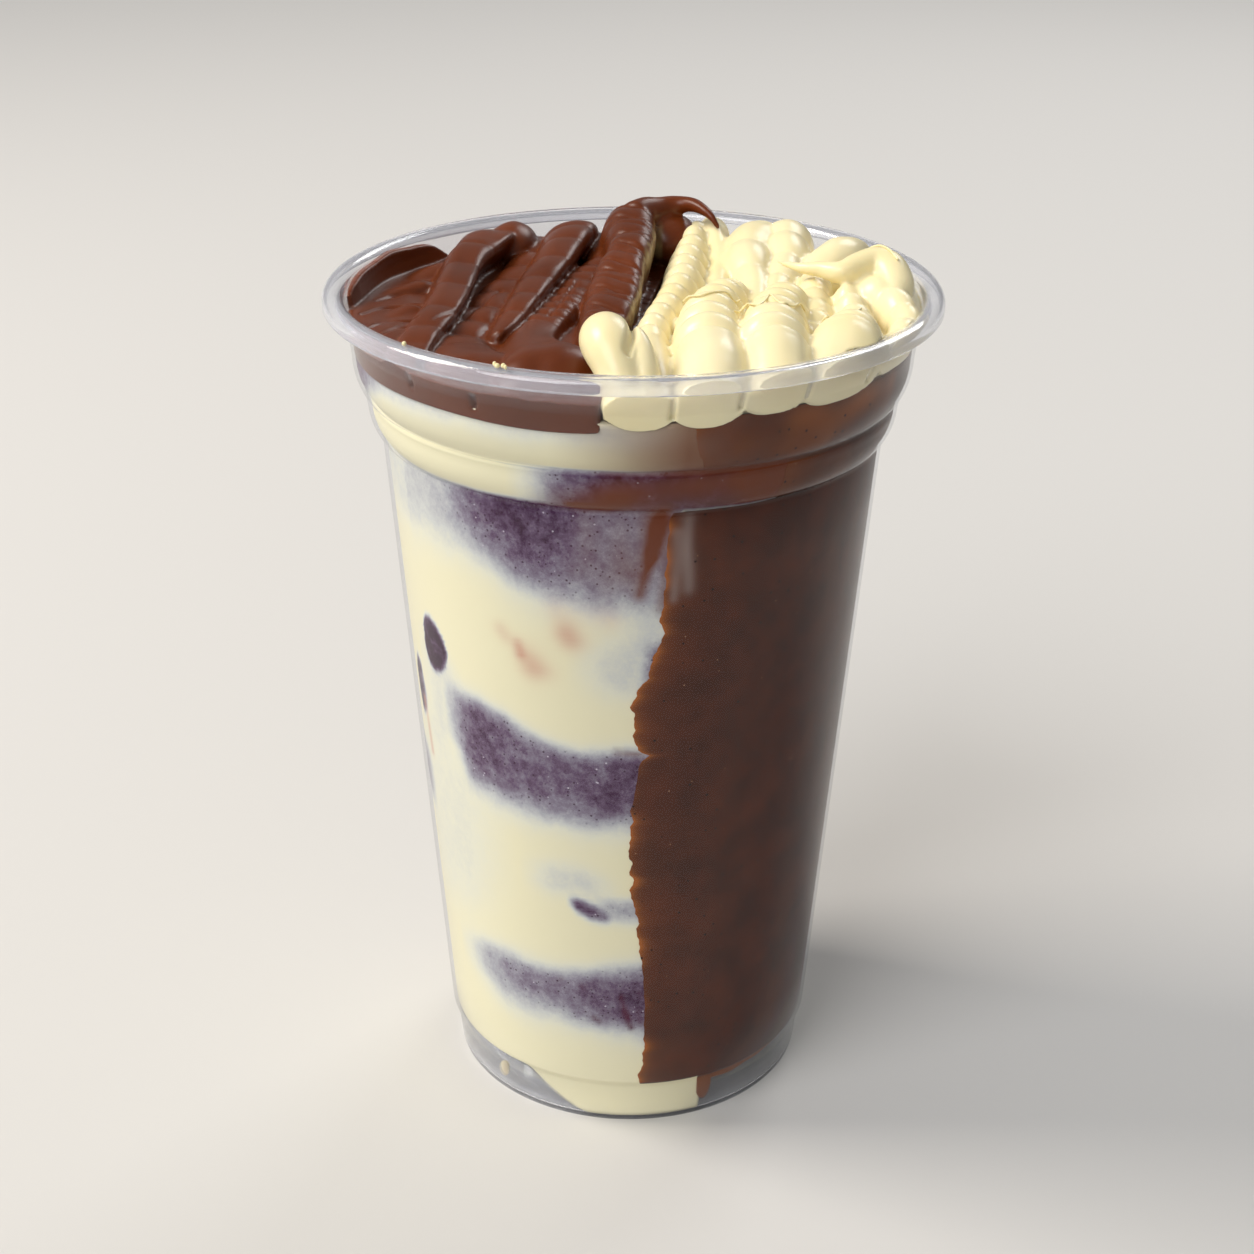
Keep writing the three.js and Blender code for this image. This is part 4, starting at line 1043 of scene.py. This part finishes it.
# Drops left on the rim by the piping tip: their angle, radius and size.
DROPS = [(-22.7, 46, 0.9), (-21.9, 46.5, 1.3), (-21, 46.1, 1.1), (-20.3, 46.6, 0.8), (-42.2, 46.2, 1.1)]
drops = [
    blob(on_circle(angle, r, CUP_H + 0.3), (0.3 * size, 0.4 * size, 0.33), rows=8, columns=12)
    for angle, r, size in DROPS
]
cream_top = make_piece("piped_cream", *joined((cream_skin, cream_faces), *threads, *drops), ivory_cream)
# The fold in the curl.
CURL_FOLD = ([(0.2, -40.4), (0.7, -37.6), (0.6, -34.6), (-0.6, -31.8)], 0.5, 1.3)
scored(cream_top, [CURL_FOLD], roughness=0.05, seed=60)
press_to_wall(cream_top, 0.5, [
    (8.6, 128.2, 133.5, 0.4, 0.7), (21.4, 129.2, 133.5, 0.4, 0.8), (35.5, 129.2, 133.5, 0.4, 0.7),
    (52, 129, 133, 0.4, 0.6),
])
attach(cream_top, "root")
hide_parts("cream_topping")

# ---------------------------------------------------------------------------- floor, light and camera
# A pale matt floor, a soft lamp at the upper left, a weak one behind at the right, broad daylight from the
# front, and an even pale surround.

FLOOR_SIDE = 8  # metres
bpy.ops.mesh.primitive_plane_add(size=FLOOR_SIDE)
floor = bpy.context.object
floor.name = "floor"
pale, tree = new_material("pale floor")
paint = node(tree, "ShaderNodeBsdfPrincipled", {"Base Color": linear("#cfcdca"), "Roughness": 0.6})
node(tree, "ShaderNodeOutputMaterial", {}, {"Surface": paint.outputs[0]})
floor.data.materials.append(pale)


def soft_lamp(name, place, target, size, watts, colour):
    """Square area lamp at a place, facing a target, in metres."""
    light = bpy.data.lights.new(name, "AREA")
    light.size, light.energy, light.color = size, watts, linear(colour)[:3]
    lamp = bpy.data.objects.new(name, light)
    bpy.context.scene.collection.objects.link(lamp)
    ahead = np.array(target) - place
    ahead /= np.linalg.norm(ahead)
    side = np.cross(ahead, (0, 0, 1))
    side /= np.linalg.norm(side)
    turned = np.eye(4)
    turned[:3, :4] = np.column_stack([side, np.cross(side, ahead), -ahead, place])
    lamp.matrix_world = Matrix(turned)


# Watts of the lamps, and watts per square metre of the daylight, which comes from the left front.
KEY_POWER, BACK_POWER, DAYLIGHT_POWER = 13.0, 4.0, 1.8
SURROUND_POWER = 0.27
soft_lamp("key", (-0.9, 0.1, 1.0), (0, 0, 0.12), 0.5, KEY_POWER, "#fff8ee")
soft_lamp("back", (0.5, 1.0, 0.9), (0, 0, 0.13), 0.5, BACK_POWER, "#ffffff")
sun = bpy.data.lights.new("window", "SUN")
sun.energy, sun.angle = DAYLIGHT_POWER, math.radians(40)
daylight = bpy.data.objects.new("window", sun)
bpy.context.scene.collection.objects.link(daylight)
daylight.rotation_euler = (math.radians(50), 0, math.radians(-38))
world = bpy.data.worlds.new("surround")
world.use_nodes = True
world.node_tree.nodes["Background"].inputs["Color"].default_value = linear("#f4f4f4")
world.node_tree.nodes["Background"].inputs["Strength"].default_value = SURROUND_POWER
bpy.context.scene.world = world
bpy.context.scene.view_settings.view_transform = "Standard"

# The photograph's viewpoint: 227 mm up and 320 mm in front, looking 25 degrees down.
EYE = np.array([0.0075353, -0.3202644, 0.2273214])
PITCH, YAW, ROLL = 0.4377, -0.0255, 0.0068
FOCAL_MM = 61.63  # on a sensor 36 mm wide
ahead = np.array([
    math.sin(YAW) * math.cos(PITCH), math.cos(YAW) * math.cos(PITCH), -math.sin(PITCH)
])
right = np.cross(ahead, (0, 0, 1))
right /= np.linalg.norm(right)
above = np.cross(right, ahead)
turned = np.eye(4)
turned[:3, 0] = math.cos(ROLL) * right + math.sin(ROLL) * above
turned[:3, 1] = math.cos(ROLL) * above - math.sin(ROLL) * right
turned[:3, 2] = -ahead
turned[:3, 3] = EYE
lens = bpy.data.cameras.new("camera")
lens.lens, lens.sensor_width, lens.sensor_fit = FOCAL_MM, 36.0, "HORIZONTAL"
lens.clip_start, lens.clip_end = 0.01, 20.0
camera = bpy.data.objects.new("camera", lens)
bpy.context.scene.collection.objects.link(camera)
camera.matrix_world = Matrix(turned)
bpy.context.scene.camera = camera
